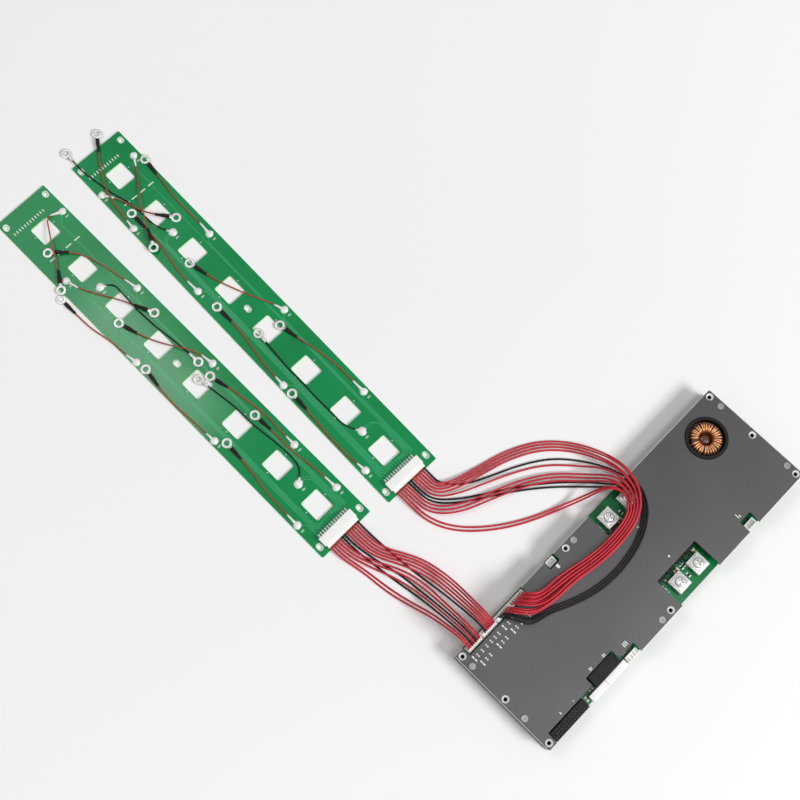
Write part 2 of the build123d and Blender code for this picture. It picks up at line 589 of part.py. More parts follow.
def unit_plate(inset, z_low, z_high):
    """Plate over the unit's footprint, less an inset all round."""
    x_limits = (LEFT_END + inset, RIGHT_END - inset)
    y_limits = (inset - UNIT_WIDTH / 2, UNIT_WIDTH / 2 - inset)
    return rounded_prism(x_limits, y_limits, z_low, z_high, PLATE_CORNER)


def base_plate():
    plate = unit_plate(0, 0, BASE_THICKNESS)
    for x, y in MOUNT_HOLES:
        plate -= rod(x, y, -1, BASE_THICKNESS + 1, MOUNT_HOLE)
    return plate


def unit_circuit_board():
    board = unit_plate(UNIT_BOARD_INSET, BOARD_BOTTOM, BOARD_TOP)
    for holes, diameter in ((MOUNT_HOLES, MOUNT_HOLE), (COVER_SCREWS, POST_HOLE)):
        for x, y in holes:
            board -= rod(x, y, BOARD_BOTTOM - 1, BOARD_TOP + 1, diameter)
    return board


def heatsink_cover():
    plate = unit_plate(0, COVER_BOTTOM, COVER_TOP)
    top_edges = plate.faces().sort_by(Axis.Z)[-1].edges()
    plate = chamfer(top_edges, COVER_BEVEL)
    low, high = COVER_BOTTOM - 1, COVER_TOP + 1
    openings = [PACK_OPENING, BATTERY_OPENING, BALANCE_OPENING, LEFT_SOCKET_OPENING,
                RIGHT_SOCKET_OPENING] + STEPPED_OPENING
    for x_limits, y_limits in openings:
        plate -= rounded_prism(x_limits, y_limits, low, high, CUT_CORNER)
    plate -= rod(*CHOKE_CENTRE, low, high, CUP_DIAMETER + 2 * CUP_CLEARANCE)
    sink_depth = (COUNTERSINK - MOUNT_HOLE) / 2
    for x, y in MOUNT_HOLES:
        plate -= rod(x, y, low, high, MOUNT_HOLE)
        plate -= Pos(x, y, COVER_TOP - sink_depth / 2) * Cone(
            MOUNT_HOLE / 2, COUNTERSINK / 2, sink_depth
        )
    for x, y in COVER_SCREWS:
        plate -= rod(x, y, low, high, SCREW_HOLE)
    return plate


def hexagon(x, y, z_low, z_high, across):
    """Upright hexagonal bar of a given width across its flats."""
    outline = RegularPolygon(across / 2, 6, major_radius=False)
    return Pos(x, y, z_low) * extrude(outline, z_high - z_low)


def spacers():
    """Hollow hexagonal spacers at the mounting holes and tapped posts under the cover's screws."""
    pieces = []
    for x, y in MOUNT_HOLES:
        for low, high in ((BASE_THICKNESS, BOARD_BOTTOM), (BOARD_TOP, COVER_BOTTOM)):
            pieces.append(hexagon(x, y, low, high, SPACER_ACROSS) - rod(x, y, low, high, SPACER_BORE))
    for x, y in COVER_SCREWS:
        post = hexagon(x, y, BASE_THICKNESS, BOARD_BOTTOM, POST_ACROSS)
        post += rod(x, y, BOARD_BOTTOM, BOARD_TOP, POST_NECK)
        post += hexagon(x, y, BOARD_TOP, COVER_BOTTOM, POST_ACROSS)
        post -= rod(x, y, COVER_TOP - SCREW_REACH - SCREW_BORE_SPARE, COVER_TOP, SCREW_BORE)
        pieces.append(post)
    return group(pieces)


def cross_slot(length, width, top, depth):
    """Cutter for a cross recess."""
    slot = block((-length / 2, length / 2), (-width / 2, width / 2), (top - depth, top + 1))
    return slot + Rot(0, 0, 90) * slot


def cover_screws():
    top = COVER_TOP + SCREW_HEAD_HEIGHT
    length, width, depth = SCREW_RECESS
    recess = cross_slot(length, width, top, depth)
    pieces = []
    for x, y in COVER_SCREWS:
        head = rod(0, 0, COVER_TOP, top, SCREW_HEAD)
        head = chamfer(head.edges().filter_by(GeomType.CIRCLE).group_by(Axis.Z)[-1], SCREW_HEAD_BEVEL)
        head = head - recess
        shaft = rod(0, 0, COVER_TOP - SCREW_REACH, COVER_TOP, SCREW_DIAMETER)
        pieces.append(Pos(x, y, 0) * (head + shaft))
    return group(pieces)


def toroid_cup():
    cup = rod(*CHOKE_CENTRE, BOARD_TOP, COVER_TOP + CUP_PROUD, CUP_DIAMETER)
    bore = CUP_DIAMETER - 2 * CUP_WALL
    cup -= rod(*CHOKE_CENTRE, BOARD_TOP + CUP_FLOOR, COVER_TOP + CUP_PROUD + 1, bore)
    rim = cup.faces().sort_by(Axis.Z)[-1].edges()
    return chamfer(rim, CUP_BEVEL)


def toroid_winding():
    """Turns of the winding: closed loops round the core, fanned about the cup's axis."""
    bottom = BOARD_TOP + CUP_FLOOR
    inner = CORE_INNER / 2 - TURN_CLEARANCE
    outer = CORE_OUTER / 2 + TURN_CLEARANCE
    hollow_width = outer - inner
    loop_width = hollow_width + 2 * TURN_THICKNESS
    loop_height = WINDING_TOP - bottom
    loop = Rectangle(loop_width, loop_height)
    loop = chamfer(loop.vertices(), TURN_BEVEL)
    loop -= Rectangle(hollow_width, loop_height - 2 * TURN_THICKNESS)
    middle = Pos((inner + outer) / 2, 0, (bottom + WINDING_TOP) / 2)
    pitch = (360 - TURN_GAP) / (TURN_COUNT - 1)
    turn = revolve(middle * (Plane.XZ * loop), Axis.Z, pitch * TURN_SHARE)
    turn = Rot(0, 0, -pitch * TURN_SHARE / 2) * turn
    first = TURN_GAP_CENTRE + TURN_GAP / 2
    centre = Pos(*CHOKE_CENTRE, 0)
    return group(centre * Rot(0, 0, first + pitch * number) * turn for number in range(TURN_COUNT))


def toroid_core():
    low = BOARD_TOP + CUP_FLOOR + TURN_THICKNESS
    high = WINDING_TOP - TURN_THICKNESS
    core = rod(*CHOKE_CENTRE, low, high, CORE_OUTER) - rod(*CHOKE_CENTRE, low, high, CORE_INNER)
    return chamfer(core.edges().filter_by(GeomType.CIRCLE), CORE_BEVEL)


def power_terminals():
    """Sheet metal terminals: a top plate, two folded legs and a tapped boss."""
    half = TERMINAL_SIZE / 2
    top = BOARD_TOP + TERMINAL_HEIGHT
    shell = block((-half, half), (-half, half), (BOARD_TOP, top))
    shell = fillet(shell.edges().filter_by(Axis.Y).group_by(Axis.Z)[-1], TERMINAL_FOLD)
    inside = half - TERMINAL_SHEET
    shell -= block((-inside, inside), (-half - 1, half + 1), (BOARD_TOP - 1, top - TERMINAL_SHEET))
    arch_width, arch_height = TERMINAL_ARCH
    shell -= block(
        (-half - 1, half + 1),
        (-arch_width / 2, arch_width / 2),
        (BOARD_TOP - 1, BOARD_TOP + arch_height),
    )
    shell += rod(0, 0, top - TERMINAL_SHEET - TERMINAL_BOSS_DEPTH, top - TERMINAL_SHEET, TERMINAL_BOSS)
    shell -= rod(0, 0, BOARD_TOP, top + 1, TERMINAL_BORE)
    return group(Pos(x, y, 0) * shell for x, y in PACK_TERMINALS + BATTERY_TERMINALS)


def terminal_screws():
    """Pan head screws with cross recesses, each over a square washer."""
    seat = BOARD_TOP + TERMINAL_HEIGHT
    washer_top = seat + WASHER_THICKNESS
    top = washer_top + TERMINAL_HEAD_HEIGHT
    half = WASHER_SIZE / 2
    washer = block((-half, half), (-half, half), (seat, washer_top))
    washer = chamfer(washer.edges().filter_by(Axis.Z), WASHER_BEVEL)
    head = rod(0, 0, washer_top, top, TERMINAL_HEAD)
    head = chamfer(head.edges().filter_by(GeomType.CIRCLE).group_by(Axis.Z)[-1], TERMINAL_HEAD_BEVEL)
    head -= cross_slot(CROSS_LENGTH, CROSS_WIDTH, top, CROSS_DEPTH)
    shaft = rod(0, 0, BOARD_TOP + TERMINAL_SCREW_END, seat, TERMINAL_SCREW)
    screw = washer + head + shaft
    return group(Pos(x, y, 0) * screw for x, y in PACK_TERMINALS + BATTERY_TERMINALS)


def power_transistors():
    """Flat transistors with a metal tab behind the body and legs to the opening."""
    width, depth, height = TRANSISTOR_BODY
    leg_width, leg_length, leg_height = TRANSISTOR_LEG
    body = block((-width / 2, width / 2), (-depth / 2, depth / 2), (BOARD_TOP, BOARD_TOP + height))
    body = chamfer(body.faces().sort_by(Axis.Z)[-1].edges(), TRANSISTOR_BEVEL)
    tab_width, tab_length, tab_height = TRANSISTOR_TAB
    body += block(
        (-tab_width / 2, tab_width / 2),
        (-depth / 2 - tab_length, -depth / 2),
        (BOARD_TOP, BOARD_TOP + tab_height),
    )
    for place in (-1, 0, 1):
        x = place * TRANSISTOR_LEG_SPREAD
        body += block(
            (x - leg_width / 2, x + leg_width / 2),
            (depth / 2, depth / 2 + leg_length),
            (BOARD_TOP, BOARD_TOP + leg_height),
        )
    pieces = []
    for y, facing in TRANSISTOR_ROWS:
        turn = 0 if facing > 0 else 180
        pieces += [Pos(x, y, 0) * Rot(0, 0, turn) * body for x in TRANSISTOR_X]
    return group(pieces)


def balance_header():
    """Open-topped wire-to-board header with two slots in its outer wall."""
    width, depth, height = BALANCE_HEADER
    top = BOARD_TOP + height
    header = block((-width / 2, width / 2), (-depth / 2, depth / 2), (BOARD_TOP, top))
    inner_x = width / 2 - BALANCE_WALL
    inner_y = depth / 2 - BALANCE_WALL
    header -= block((-inner_x, inner_x), (-inner_y, inner_y), (BOARD_TOP + BALANCE_FLOOR, top + 1))
    slot_width, slot_depth = BALANCE_SLOT
    for side in (-1, 1):
        x = side * BALANCE_SLOT_X
        header -= block(
            (x - slot_width / 2, x + slot_width / 2),
            (inner_y, depth / 2 + 1),
            (top - slot_depth, top + 1),
        )
    return header


def balance_headers():
    return group(Pos(x, BALANCE_Y, 0) * balance_header() for x in BALANCE_X)


def balance_plugs():
    """Crimp housings seated in the headers, with a rib beside each wire."""
    width, depth, height = BALANCE_HEADER
    half_x = width / 2 - BALANCE_WALL - PLUG_CLEARANCE
    half_y = depth / 2 - BALANCE_WALL - PLUG_CLEARANCE
    top = PLUG_TOP - WIRE_END_GAP
    plug = block((-half_x, half_x), (-half_y, half_y), (BOARD_TOP + BALANCE_FLOOR, top))
    rib_width, rib_depth = PLUG_RIB
    for number in range(BALANCE_POSITIONS - 1):
        x = (number - (BALANCE_POSITIONS - 2) / 2) * BALANCE_PITCH
        plug -= block(
            (x - rib_width / 2, x + rib_width / 2),
            (-half_y - 1, -half_y + rib_depth),
            (BOARD_TOP + height, top + 1),
        )
    return group(Pos(x, BALANCE_Y, 0) * plug for x in BALANCE_X)


def side_connectors():
    """Small open headers with upright pins, one on each long side."""
    pieces = []
    for (x, y, width), pins in zip(SIDE_SOCKETS, SIDE_PIN_COUNTS):
        top = BOARD_TOP + SIDE_SOCKET_HEIGHT
        half_x = width / 2
        half_y = SIDE_SOCKET_DEPTH / 2
        inner_x = half_x - SIDE_SOCKET_WALL
        inner_y = half_y - SIDE_SOCKET_WALL
        header = block((-half_x, half_x), (-half_y, half_y), (BOARD_TOP, top))
        header -= block((-inner_x, inner_x), (-inner_y, inner_y), (BOARD_TOP + SIDE_SOCKET_FLOOR, top + 1))
        for number in range(pins):
            pin_x = (number - (pins - 1) / 2) * SIDE_PITCH
            header += block(
                (pin_x - SIDE_PIN / 2, pin_x + SIDE_PIN / 2),
                (-SIDE_PIN / 2, SIDE_PIN / 2),
                (BOARD_TOP, BOARD_TOP + SIDE_SOCKET_FLOOR + PIN_RISE),
            )
        pieces.append(Pos(x, y, 0) * header)
    return group(pieces)


def relay_block():
    body = block(*RELAY_BODY)
    body = fillet(body.edges().filter_by(Axis.Z), RELAY_BEVEL)
    return chamfer(body.faces().sort_by(Axis.Z)[-1].edges(), RELAY_BEVEL / 2)


def long_white_connector():
    """Two side-entry sockets end to end along the unit's edge."""
    pieces = []
    y_low, y_high = LONG_SOCKET_Y
    for x_low, x_high in LONG_SOCKETS:
        socket = block((x_low, x_high), LONG_SOCKET_Y, (BOARD_TOP, LONG_SOCKET_TOP))
        socket = chamfer(socket.faces().sort_by(Axis.Z)[-1].edges(), LONG_SOCKET_BEVEL)
        socket -= block(
            (x_low + LONG_SOCKET_WALL, x_high - LONG_SOCKET_WALL),
            (y_low - 1, y_high - LONG_SOCKET_WALL),
            (BOARD_TOP + LONG_SOCKET_WALL, LONG_SOCKET_TOP - LONG_SOCKET_ROOF),
        )
        pieces.append(socket)
    return group(pieces)


def slotted_connector():
    body = block(*SLOTTED_BODY)
    (x_low, x_high), (y_low, y_high), (z_low, z_high) = SLOTTED_BODY
    slot_width, slot_length, slot_depth = SLOT_SIZE
    pitch = (x_high - x_low) / SLOT_COUNT
    middle = (y_low + y_high) / 2
    for number in range(SLOT_COUNT):
        x = x_low + pitch * (number + 0.5)
        body -= block(
            (x - slot_width / 2, x + slot_width / 2),
            (middle - slot_length / 2, middle + slot_length / 2),
            (z_high - slot_depth, z_high + 1),
        )
    return body


def multi_pin_block():
    body = block(*MULTI_PIN_BODY)
    (x_low, x_high), (y_low, y_high), (z_low, z_high) = MULTI_PIN_BODY
    body = chamfer(body.edges().filter_by(Axis.X).group_by(Axis.Z)[-1], MULTI_PIN_BEVEL)
    half = MULTI_PIN_HOLE / 2
    for column in range(MULTI_PIN_COLUMNS):
        x = (x_low + x_high) / 2 + (column - (MULTI_PIN_COLUMNS - 1) / 2) * MULTI_PIN_PITCH
        for row in range(MULTI_PIN_ROWS):
            y = (y_low + y_high) / 2 + (row - (MULTI_PIN_ROWS - 1) / 2) * MULTI_PIN_PITCH
            body -= block((x - half, x + half), (y - half, y + half), (z_high - MULTI_PIN_DEPTH, z_high + 1))
    return body


def tap_board(place):
    """Long board with a row of windows and an oval slot at each corner."""
    board = extrude(RectangleRounded(TAP_WIDTH, TAP_LENGTH, TAP_CORNER), TAP_THICKNESS)
    half = WINDOW_SIZE / 2
    low, high = -1, TAP_THICKNESS + 1
    for number in range(WINDOW_COUNT):
        y = WINDOW_FIRST_Y - number * WINDOW_PITCH
        board -= rounded_prism((-half, half), (y - half, y + half), low, high, WINDOW_CORNER)
    slot_width, slot_length = CORNER_SLOT
    oval = Rot(0, 0, 90) * extrude(SlotOverall(slot_length, slot_width), high - low)
    for x in (-CORNER_SLOT_X, CORNER_SLOT_X):
        for y in (-CORNER_SLOT_Y, CORNER_SLOT_Y):
            board -= Pos(x, y, low) * oval
    slot_width, slot_length = MIDDLE_SLOT
    oval = Rot(0, 0, 90) * extrude(SlotOverall(slot_length, slot_width), high - low)
    board -= Pos(0, 0, low) * oval
    return place * board


def tap_header(place):
    """Side-entry header: an open-fronted housing with a solder foot for each wire."""
    x_limits = (HEADER_X - HEADER_WIDTH / 2, HEADER_X + HEADER_WIDTH / 2)
    housing = block(x_limits, (HEADER_FRONT, HEADER_BACK), (TAP_THICKNESS, HEADER_TOP))
    housing = chamfer(housing.edges().filter_by(Axis.X).group_by(Axis.Z)[-1], HEADER_BEVEL)
    cavity_half = PLUG_HEIGHT / 2 + PLUG_CLEARANCE
    housing -= block(
        (x_limits[0] + HEADER_WALL, x_limits[1] - HEADER_WALL),
        (HEADER_FRONT - 1, HEADER_BACK - HEADER_BACK_WALL),
        (PLUG_AXIS_Z - cavity_half, PLUG_AXIS_Z + cavity_half),
    )
    foot_width, foot_length, foot_height = FOOT
    for number in range(TAP_POSITIONS):
        x = HEADER_X + (number - (TAP_POSITIONS - 1) / 2) * TAP_PITCH
        housing += block(
            (x - foot_width / 2, x + foot_width / 2),
            (HEADER_BACK, HEADER_BACK + foot_length),
            (TAP_THICKNESS, TAP_THICKNESS + foot_height),
        )
    return place * housing


def tap_plug(place):
    """Crimp housing seated in the tap header, ribbed between its wires."""
    half = HEADER_WIDTH / 2 - HEADER_WALL - PLUG_CLEARANCE
    z_limits = (PLUG_AXIS_Z - PLUG_HEIGHT / 2, PLUG_AXIS_Z + PLUG_HEIGHT / 2)
    y_limits = (PLUG_FRONT + TAP_WIRE_GAP, HEADER_BACK - HEADER_BACK_WALL)
    plug = block((HEADER_X - half, HEADER_X + half), y_limits, z_limits)
    rib_width, rib_depth = PLUG_RIB
    for number in range(TAP_POSITIONS - 1):
        x = HEADER_X + (number - (TAP_POSITIONS - 2) / 2) * TAP_PITCH
        plug -= block(
            (x - rib_width / 2, x + rib_width / 2),
            (PLUG_FRONT - 1, HEADER_FRONT),
            (z_limits[1] - rib_depth, z_limits[1] + 1),
        )
    return place * plug


def corner_radii(points):
    """Bend radius at each inner point: tangent arcs that leave a straight on every run."""
    vectors = [Vector(*point) for point in points]
    runs = [after - before for before, after in zip(vectors, vectors[1:])]
    radii = []
    for before, after in zip(runs, runs[1:]):
        half_turn = math.radians(before.get_angle(after)) / 2
        radii.append(BEND_SHARE * min(before.length, after.length) / math.tan(half_turn))
    return radii


def tube(name, points, diameter):
    """Round wire along straight runs joined by tangent arcs."""
    radii = corner_radii(points)
    route = FilletPolyline(*points, radius=radii)
    section = Plane(origin=route @ 0, z_dir=route % 0) * Circle(diameter / 2)
    solid = sweep(section, path=route)
    expected = math.pi * diameter ** 2 / 4 * route.length
    listed = ", ".join(f"{radius:.1f}" for radius in radii)
    print(f"{name}: length {route.length:.1f}, volume ratio {solid.volume / expected:.4f}, radii {listed}")
    return solid


def offset_point(start, toward, distance):
    """Point at a distance from the start on the way to another point, in plan."""
    step = Vector(toward[0] - start[0], toward[1] - start[1]).normalized() * distance
    return start[0] + step.X, start[1] + step.Y


def heading(start, toward):
    """Direction in plan, in degrees from +X."""
    return math.degrees(math.atan2(toward[1] - start[1], toward[0] - start[0]))


def lead_route(ring, points, pad):
    """Whole route of a lead: barrel end, hand-placed points and the joint's tail."""
    start = (*offset_point(ring, points[0], BARREL_END), points[0][2])
    end = (*offset_point(pad, points[-1], JOINT_TAIL), LEAD_REST)
    return [start] + points + [end]


def is_sensor(name):
    return name.startswith("black")


def leads(board, lead_table, place, colour):
    chosen = {name: lead for name, lead in lead_table.items() if name.startswith(colour)}
    return group(
        place * tube(f"lead {board} {name}", lead_route(*lead), LEAD_DIAMETER)
        for name, lead in chosen.items()
    )


def ring_terminal(barrel_diameter):
    """Eye, rising neck and crimp barrel, with the barrel's axis along +X at level zero."""
    low = -RING_DROP
    eye = rod(0, 0, low, low + RING_THICKNESS, RING_OUTER)
    barrel_radius = barrel_diameter / 2
    neck_outline = Polyline(
        (NECK_ROOT, low),
        (BARREL_START + NECK_LAP, -barrel_radius),
        (BARREL_START + 2 * NECK_LAP, barrel_radius * NECK_TOP_SHARE),
        (BARREL_START - NECK_LAP, barrel_radius * NECK_TOP_SHARE),
        (RING_OUTER / 2 - NECK_LAP, low + RING_THICKNESS),
        (NECK_ROOT, low + RING_THICKNESS),
        close=True,
    )
    neck = extrude(Plane.XZ * make_face(neck_outline), NECK_WIDTH / 2, both=True)
    upright = (Align.CENTER, Align.CENTER, Align.MIN)
    barrel = along_x(Cylinder(barrel_radius, BARREL_END - BARREL_START, align=upright))
    terminal = eye + neck + Pos(BARREL_START, 0, 0) * barrel
    return terminal - rod(0, 0, low - 1, 0, RING_HOLE)


def ring_place(ring, points, pad):
    """Seat of a terminal at the head of its lead."""
    return Pos(*ring, points[0][2]) * Rot(0, 0, heading(ring, points[0]))


def ring_terminals(lead_table, place):
    power = ring_terminal(BARREL_DIAMETER)
    sensor = ring_terminal(SENSOR_BARREL_DIAMETER)
    return group(
        place * ring_place(*lead) * (sensor if is_sensor(name) else power)
        for name, lead in lead_table.items()
    )


def heat_shrink():
    """Sleeve shrunk over a barrel and tapered on to its lead, seated on the barrel's end."""
    taper_start, taper_end = SLEEVE_TAPER
    outline = Polyline(
        (SLEEVE_START, SLEEVE_BARREL_BORE / 2),
        (SLEEVE_START, SLEEVE_WIDE / 2),
        (taper_start, SLEEVE_WIDE / 2),
        (taper_end, SLEEVE_NARROW / 2),
        (SLEEVE_END, SLEEVE_NARROW / 2),
        (SLEEVE_END, SLEEVE_LEAD_BORE / 2),
        (BARREL_END, SLEEVE_LEAD_BORE / 2),
        (BARREL_END, SLEEVE_BARREL_BORE / 2),
        close=True,
    )
    return revolve(make_face(outline), Axis.X)


def heat_shrinks(lead_table, place):
    sleeve = heat_shrink()
    return group(
        place * ring_place(*lead) * sleeve for name, lead in lead_table.items() if not is_sensor(name)
    )


def solder_joint():
    """Low dome on the pad, drawn out into a tail along +X where the lead enters."""
    dome = extrude(Circle(JOINT_DIAMETER / 2), JOINT_SHOULDER, taper=JOINT_SLOPE)
    shoulder_radius = JOINT_DIAMETER / 2 - JOINT_SHOULDER * math.tan(math.radians(JOINT_SLOPE))
    dome += Pos(0, 0, JOINT_SHOULDER) * extrude(
        Circle(shoulder_radius), JOINT_HEIGHT - JOINT_SHOULDER, taper=2 * JOINT_SLOPE
    )
    tail_height = LEAD_REST - TAP_THICKNESS + JOINT_TAIL_NARROW / 2
    outline = Polyline(
        (0, -JOINT_TAIL_WIDE / 2),
        (JOINT_TAIL, -JOINT_TAIL_NARROW / 2),
        (JOINT_TAIL, JOINT_TAIL_NARROW / 2),
        (0, JOINT_TAIL_WIDE / 2),
        close=True,
    )
    tail = extrude(make_face(outline), tail_height)
    tail = chamfer(tail.faces().sort_by(Axis.Z)[-1].edges().filter_by(Axis.Y, reverse=True), JOINT_TAIL_BEVEL)
    return Pos(0, 0, TAP_THICKNESS) * (dome + tail)


def solder_joints(lead_table, place):
    joint = solder_joint()
    return group(
        place * Pos(*pad, 0) * Rot(0, 0, heading(pad, points[-1])) * joint
        for ring, points, pad in lead_table.values()
    )


def build_unit():
    save("base_plate", base_plate())
    save("unit_circuit_board", unit_circuit_board())
    save("heatsink_cover", heatsink_cover())
    save("spacers", spacers())
    save("cover_screws", cover_screws())
    save("toroid_cup", toroid_cup())
    save("toroid_core", toroid_core())
    save("toroid_winding", toroid_winding())
    save("power_terminals", power_terminals())
    save("terminal_screws", terminal_screws())
    save("power_transistors", power_transistors())
    save("balance_headers", balance_headers())
    save("balance_plugs", balance_plugs())
    save("side_connectors", side_connectors())
    save("relay_block", relay_block())
    save("long_white_connector", long_white_connector())
    save("slotted_connector", slotted_connector())
    save("multi_pin_block", multi_pin_block())


def build_tap(board, place, lead_table):
    save(f"tap_board_{board}", tap_board(place))
    save(f"tap_header_{board}", tap_header(place))
    save(f"tap_plug_{board}", tap_plug(place))
    save(f"solder_joints_{board}", solder_joints(lead_table, place))
    save(f"ring_terminals_{board}", ring_terminals(lead_table, place))
    save(f"heat_shrinks_{board}", heat_shrinks(lead_table, place))
    save(f"leads_{board}_red", leads(board, lead_table, place, "red"))
    save(f"leads_{board}_black", leads(board, lead_table, place, "black"))


def build_harness(board, routes):
    for number, points in routes.items():
        name = f"harness_{board}_wire_{number:02d}"
        save(name, tube(name, points, WIRE_DIAMETER))


os.makedirs(PARTS, exist_ok=True)
build_unit()
build_tap("a", TAP_A_PLACE, LEADS_A)
build_tap("b", TAP_B_PLACE, LEADS_B)
build_harness("a", HARNESS_A_ROUTES)
build_harness("b", HARNESS_B_ROUTES)
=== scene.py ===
import bmesh
import bpy
import math
from mathutils import Matrix, Vector

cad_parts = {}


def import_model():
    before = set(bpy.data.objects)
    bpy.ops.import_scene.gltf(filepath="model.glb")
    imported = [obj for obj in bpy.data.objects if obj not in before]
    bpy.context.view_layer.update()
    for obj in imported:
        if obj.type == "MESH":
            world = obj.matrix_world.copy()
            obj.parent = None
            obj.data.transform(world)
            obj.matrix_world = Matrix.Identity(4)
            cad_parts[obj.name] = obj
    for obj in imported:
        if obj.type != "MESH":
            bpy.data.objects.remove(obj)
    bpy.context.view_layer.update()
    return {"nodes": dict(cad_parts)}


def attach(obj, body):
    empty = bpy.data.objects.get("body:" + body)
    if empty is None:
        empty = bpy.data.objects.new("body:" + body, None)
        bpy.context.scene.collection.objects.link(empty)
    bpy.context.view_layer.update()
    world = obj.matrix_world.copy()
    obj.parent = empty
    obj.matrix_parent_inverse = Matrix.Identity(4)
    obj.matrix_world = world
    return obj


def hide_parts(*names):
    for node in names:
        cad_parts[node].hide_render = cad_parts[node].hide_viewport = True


# Battery management board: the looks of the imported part. Sizes and route points are in
# millimetres, as in the part's source, and MM turns them into metres. The lamps and the floor
# are in metres.

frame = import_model()
nodes = frame["nodes"]

MM = 0.001

# The photograph's view, found from the boards' corners
CAMERA_PLACE = (-198.2, 57.0, 919.0)
CAMERA_FORWARD = (0.1763, 0.1790, -0.9679)
CAMERA_UP = (0.6888, 0.6801, 0.2512)
CAMERA_SENSOR = 36.0
CAMERA_LENS = 51.3
CAMERA_CLIP = (0.05, 20.0)

# Lamps: name, place, aim, size and power
LAMPS = [
    ("key", (0.7, -2.8, 2.6), (0.0, 0.1, 0.0), (1.4, 1.1), 108.0),
    ("fill", (-0.5, 1.9, 2.4), (-0.1, 0.2, 0.0), (1.4, 1.2), 10.5),
    ("top", (0.1, -0.5, 2.0), (0.1, -0.5, 0.0), (0.8, 0.45), 7.0),
    ("window", (-0.065, 1.147, 2.0), (-0.065, 1.147, 0.0), (0.13, 0.5), 2.2),
]
WORLD_STRENGTH = 0.26
FLOOR_HALF = 2.2
# Painted shade on the floor: greyest round this middle, white beyond the far distance of the fade
FLOOR_SHADE_MIDDLE = (0.02, 0.12, 0.0)
FLOOR_SHADE_FADE = (0.17, 0.52)

# Edges sharper than this many degrees stay sharp; the wider limit is for soft forms
SHARP_ANGLE = 38.0
SOFT_ANGLE = 60.0
ROUNDED_ANGLE = 35.0
WELD_DISTANCE = 1e-6
FLAT_ANGLE = 1.0

# The unit
COVER_TOP = 18.0
COVER_INK = (COVER_TOP - 0.02, COVER_TOP + 0.05)
UNIT_BOARD_TOP = 8.0
TERMINALS = [(16.2, -36.5), (37.4, -36.8), (14.7, 37.6), (37.3, 37.2)]
TERMINAL_HEIGHT = 6.2
CHOKE_CENTRE = (117.5, 24.8)
TURN_COUNT = 30
TURN_GAP = 25.0
TURN_GAP_CENTRE = 145.0
TURN_WIRE = 0.62
TURN_RADII = (6.45, 12.95)
TURN_LEVELS = (9.65, 18.1)
TURN_BENDS = (1.3, 2.6, 2.0, 1.3)
WASHER_HALF = 5.3
WASHER_CORNER = 1.1
WASHER_TOP = 0.95
RECESS_ARM = 2.7
RECESS_HALF = 0.62
RECESS_LEVELS = (1.2, 2.7, 4.0)
CHIP_CAP_SHARE = 0.2
CHIP_BEVEL = 0.08
BLOCK_CENTRE = (-121.95, -45.6)
BLOCK_PITCH = 2.54
BLOCK_COLUMNS = 14
BLOCK_ROWS = 3
BLOCK_PIN = [(0.36, 11.9), (0.36, 13.0), (0.22, 13.25), (0.05, 13.3)]
RELAY_X = (-89.6, -62.4)
RELAY_Y = (-43.8, -33.6)
RELAY_RELIEF = (16.5, 16.75)
RELAY_RIMS = ((1.2, 0.8), (1.8, 0.6))
RELAY_RING_X = (-82.5, -76.0, -69.5)
RELAY_RING_RADII = (1.7, 1.3)
BALANCE_X = (-132.0, -115.9, -99.8, -83.7)
BALANCE_Y = 46.0
BALANCE_POSITIONS = 7
BALANCE_PITCH = 2.0
# Black blocks of painted shade in the balance plugs' top slots: x and y limits round each slot, and levels
SLOT_SHADE_X = (-0.55, 0.55)
SLOT_SHADE_Y = (0.4, 1.6)
SLOT_SHADE_LEVELS = (16.0, 17.78)
DASH_HALVES = (1.5, 2.6)
DASH_GAP = 0.35
DASH_WIDTH = 1.15

# The tap boards, in each board's own axes
TAP_CENTRES = {"a": (-140, 382), "b": (-65, 375)}
TAP_TURNS = {"a": -0.3, "b": -2.0}
TAP_TOP = 1.6
TRACK_LEVELS = (TAP_TOP - 0.02, TAP_TOP + 0.06)
INK_LEVELS = (TAP_TOP - 0.02, TAP_TOP + 0.07)
LAND_LEVELS = (TAP_TOP - 0.02, TAP_TOP + 0.05)
LAND_MARGINS = (0.75, 0.03)
TAP_POSITIONS = 13
TAP_PITCH = 2.5
HEADER_X = -1.4
HEADER_BACK = -190.8
FOOT_END = -188.0
FIRST_LANE = 17.4
LANE_PITCH = 0.98
TRACK_WIDTH = 0.4
TRACK_START = FOOT_END - 0.6
TRACK_TURN = FOOT_END + 1.4
TRACK_BEND = 3.0
INNER_BEND = 4.0
INNER_GAP = 0.9
WINDOW_SIZE = (18.0, 20.2)
WINDOW_CORNER = 1.8
WINDOW_FIRST_Y = 169.1
WINDOW_PITCH = 48.65
WINDOW_LAST_STEP = 46.45
WINDOW_Y = [WINDOW_FIRST_Y - number * WINDOW_PITCH for number in range(7)]
WINDOW_Y.append(WINDOW_Y[-1] - WINDOW_LAST_STEP)
WINDOW_DOT_X = 10.6
WINDOW_DOT_Y = 1.5
WINDOW_DOT_RADIUS = 0.5
HEAD_DASHES = 12
HEAD_DASH_X = -21.0
HEAD_DASH_Y = 185.5
HEAD_DASH_HALF = 1.4
HEAD_DASH_WIDTH = 0.9
HEAD_DASH_PITCH = 2.9
LONG_DASH_X = (-12.5, -4.0, 5.0, 14.5)
LONG_DASH_Y = 144.8
LONG_DASH_HALF = 3.0
LONG_DASH_WIDTH = 1.1
LABEL_DROP = 6.4
LABEL_STROKES = ((-0.9, 0.7), (0.2, 0.9), (1.3, 0.7))
LABEL_WIDTH = 0.5
CORNER_SLOT_X = 22.4
CORNER_SLOT_Y = 195.5
CORNER_SLOT = (3.6, 5.5)
MIDDLE_SLOT = (3.5, 6.0)
PIN_LAND_HALF = 0.75

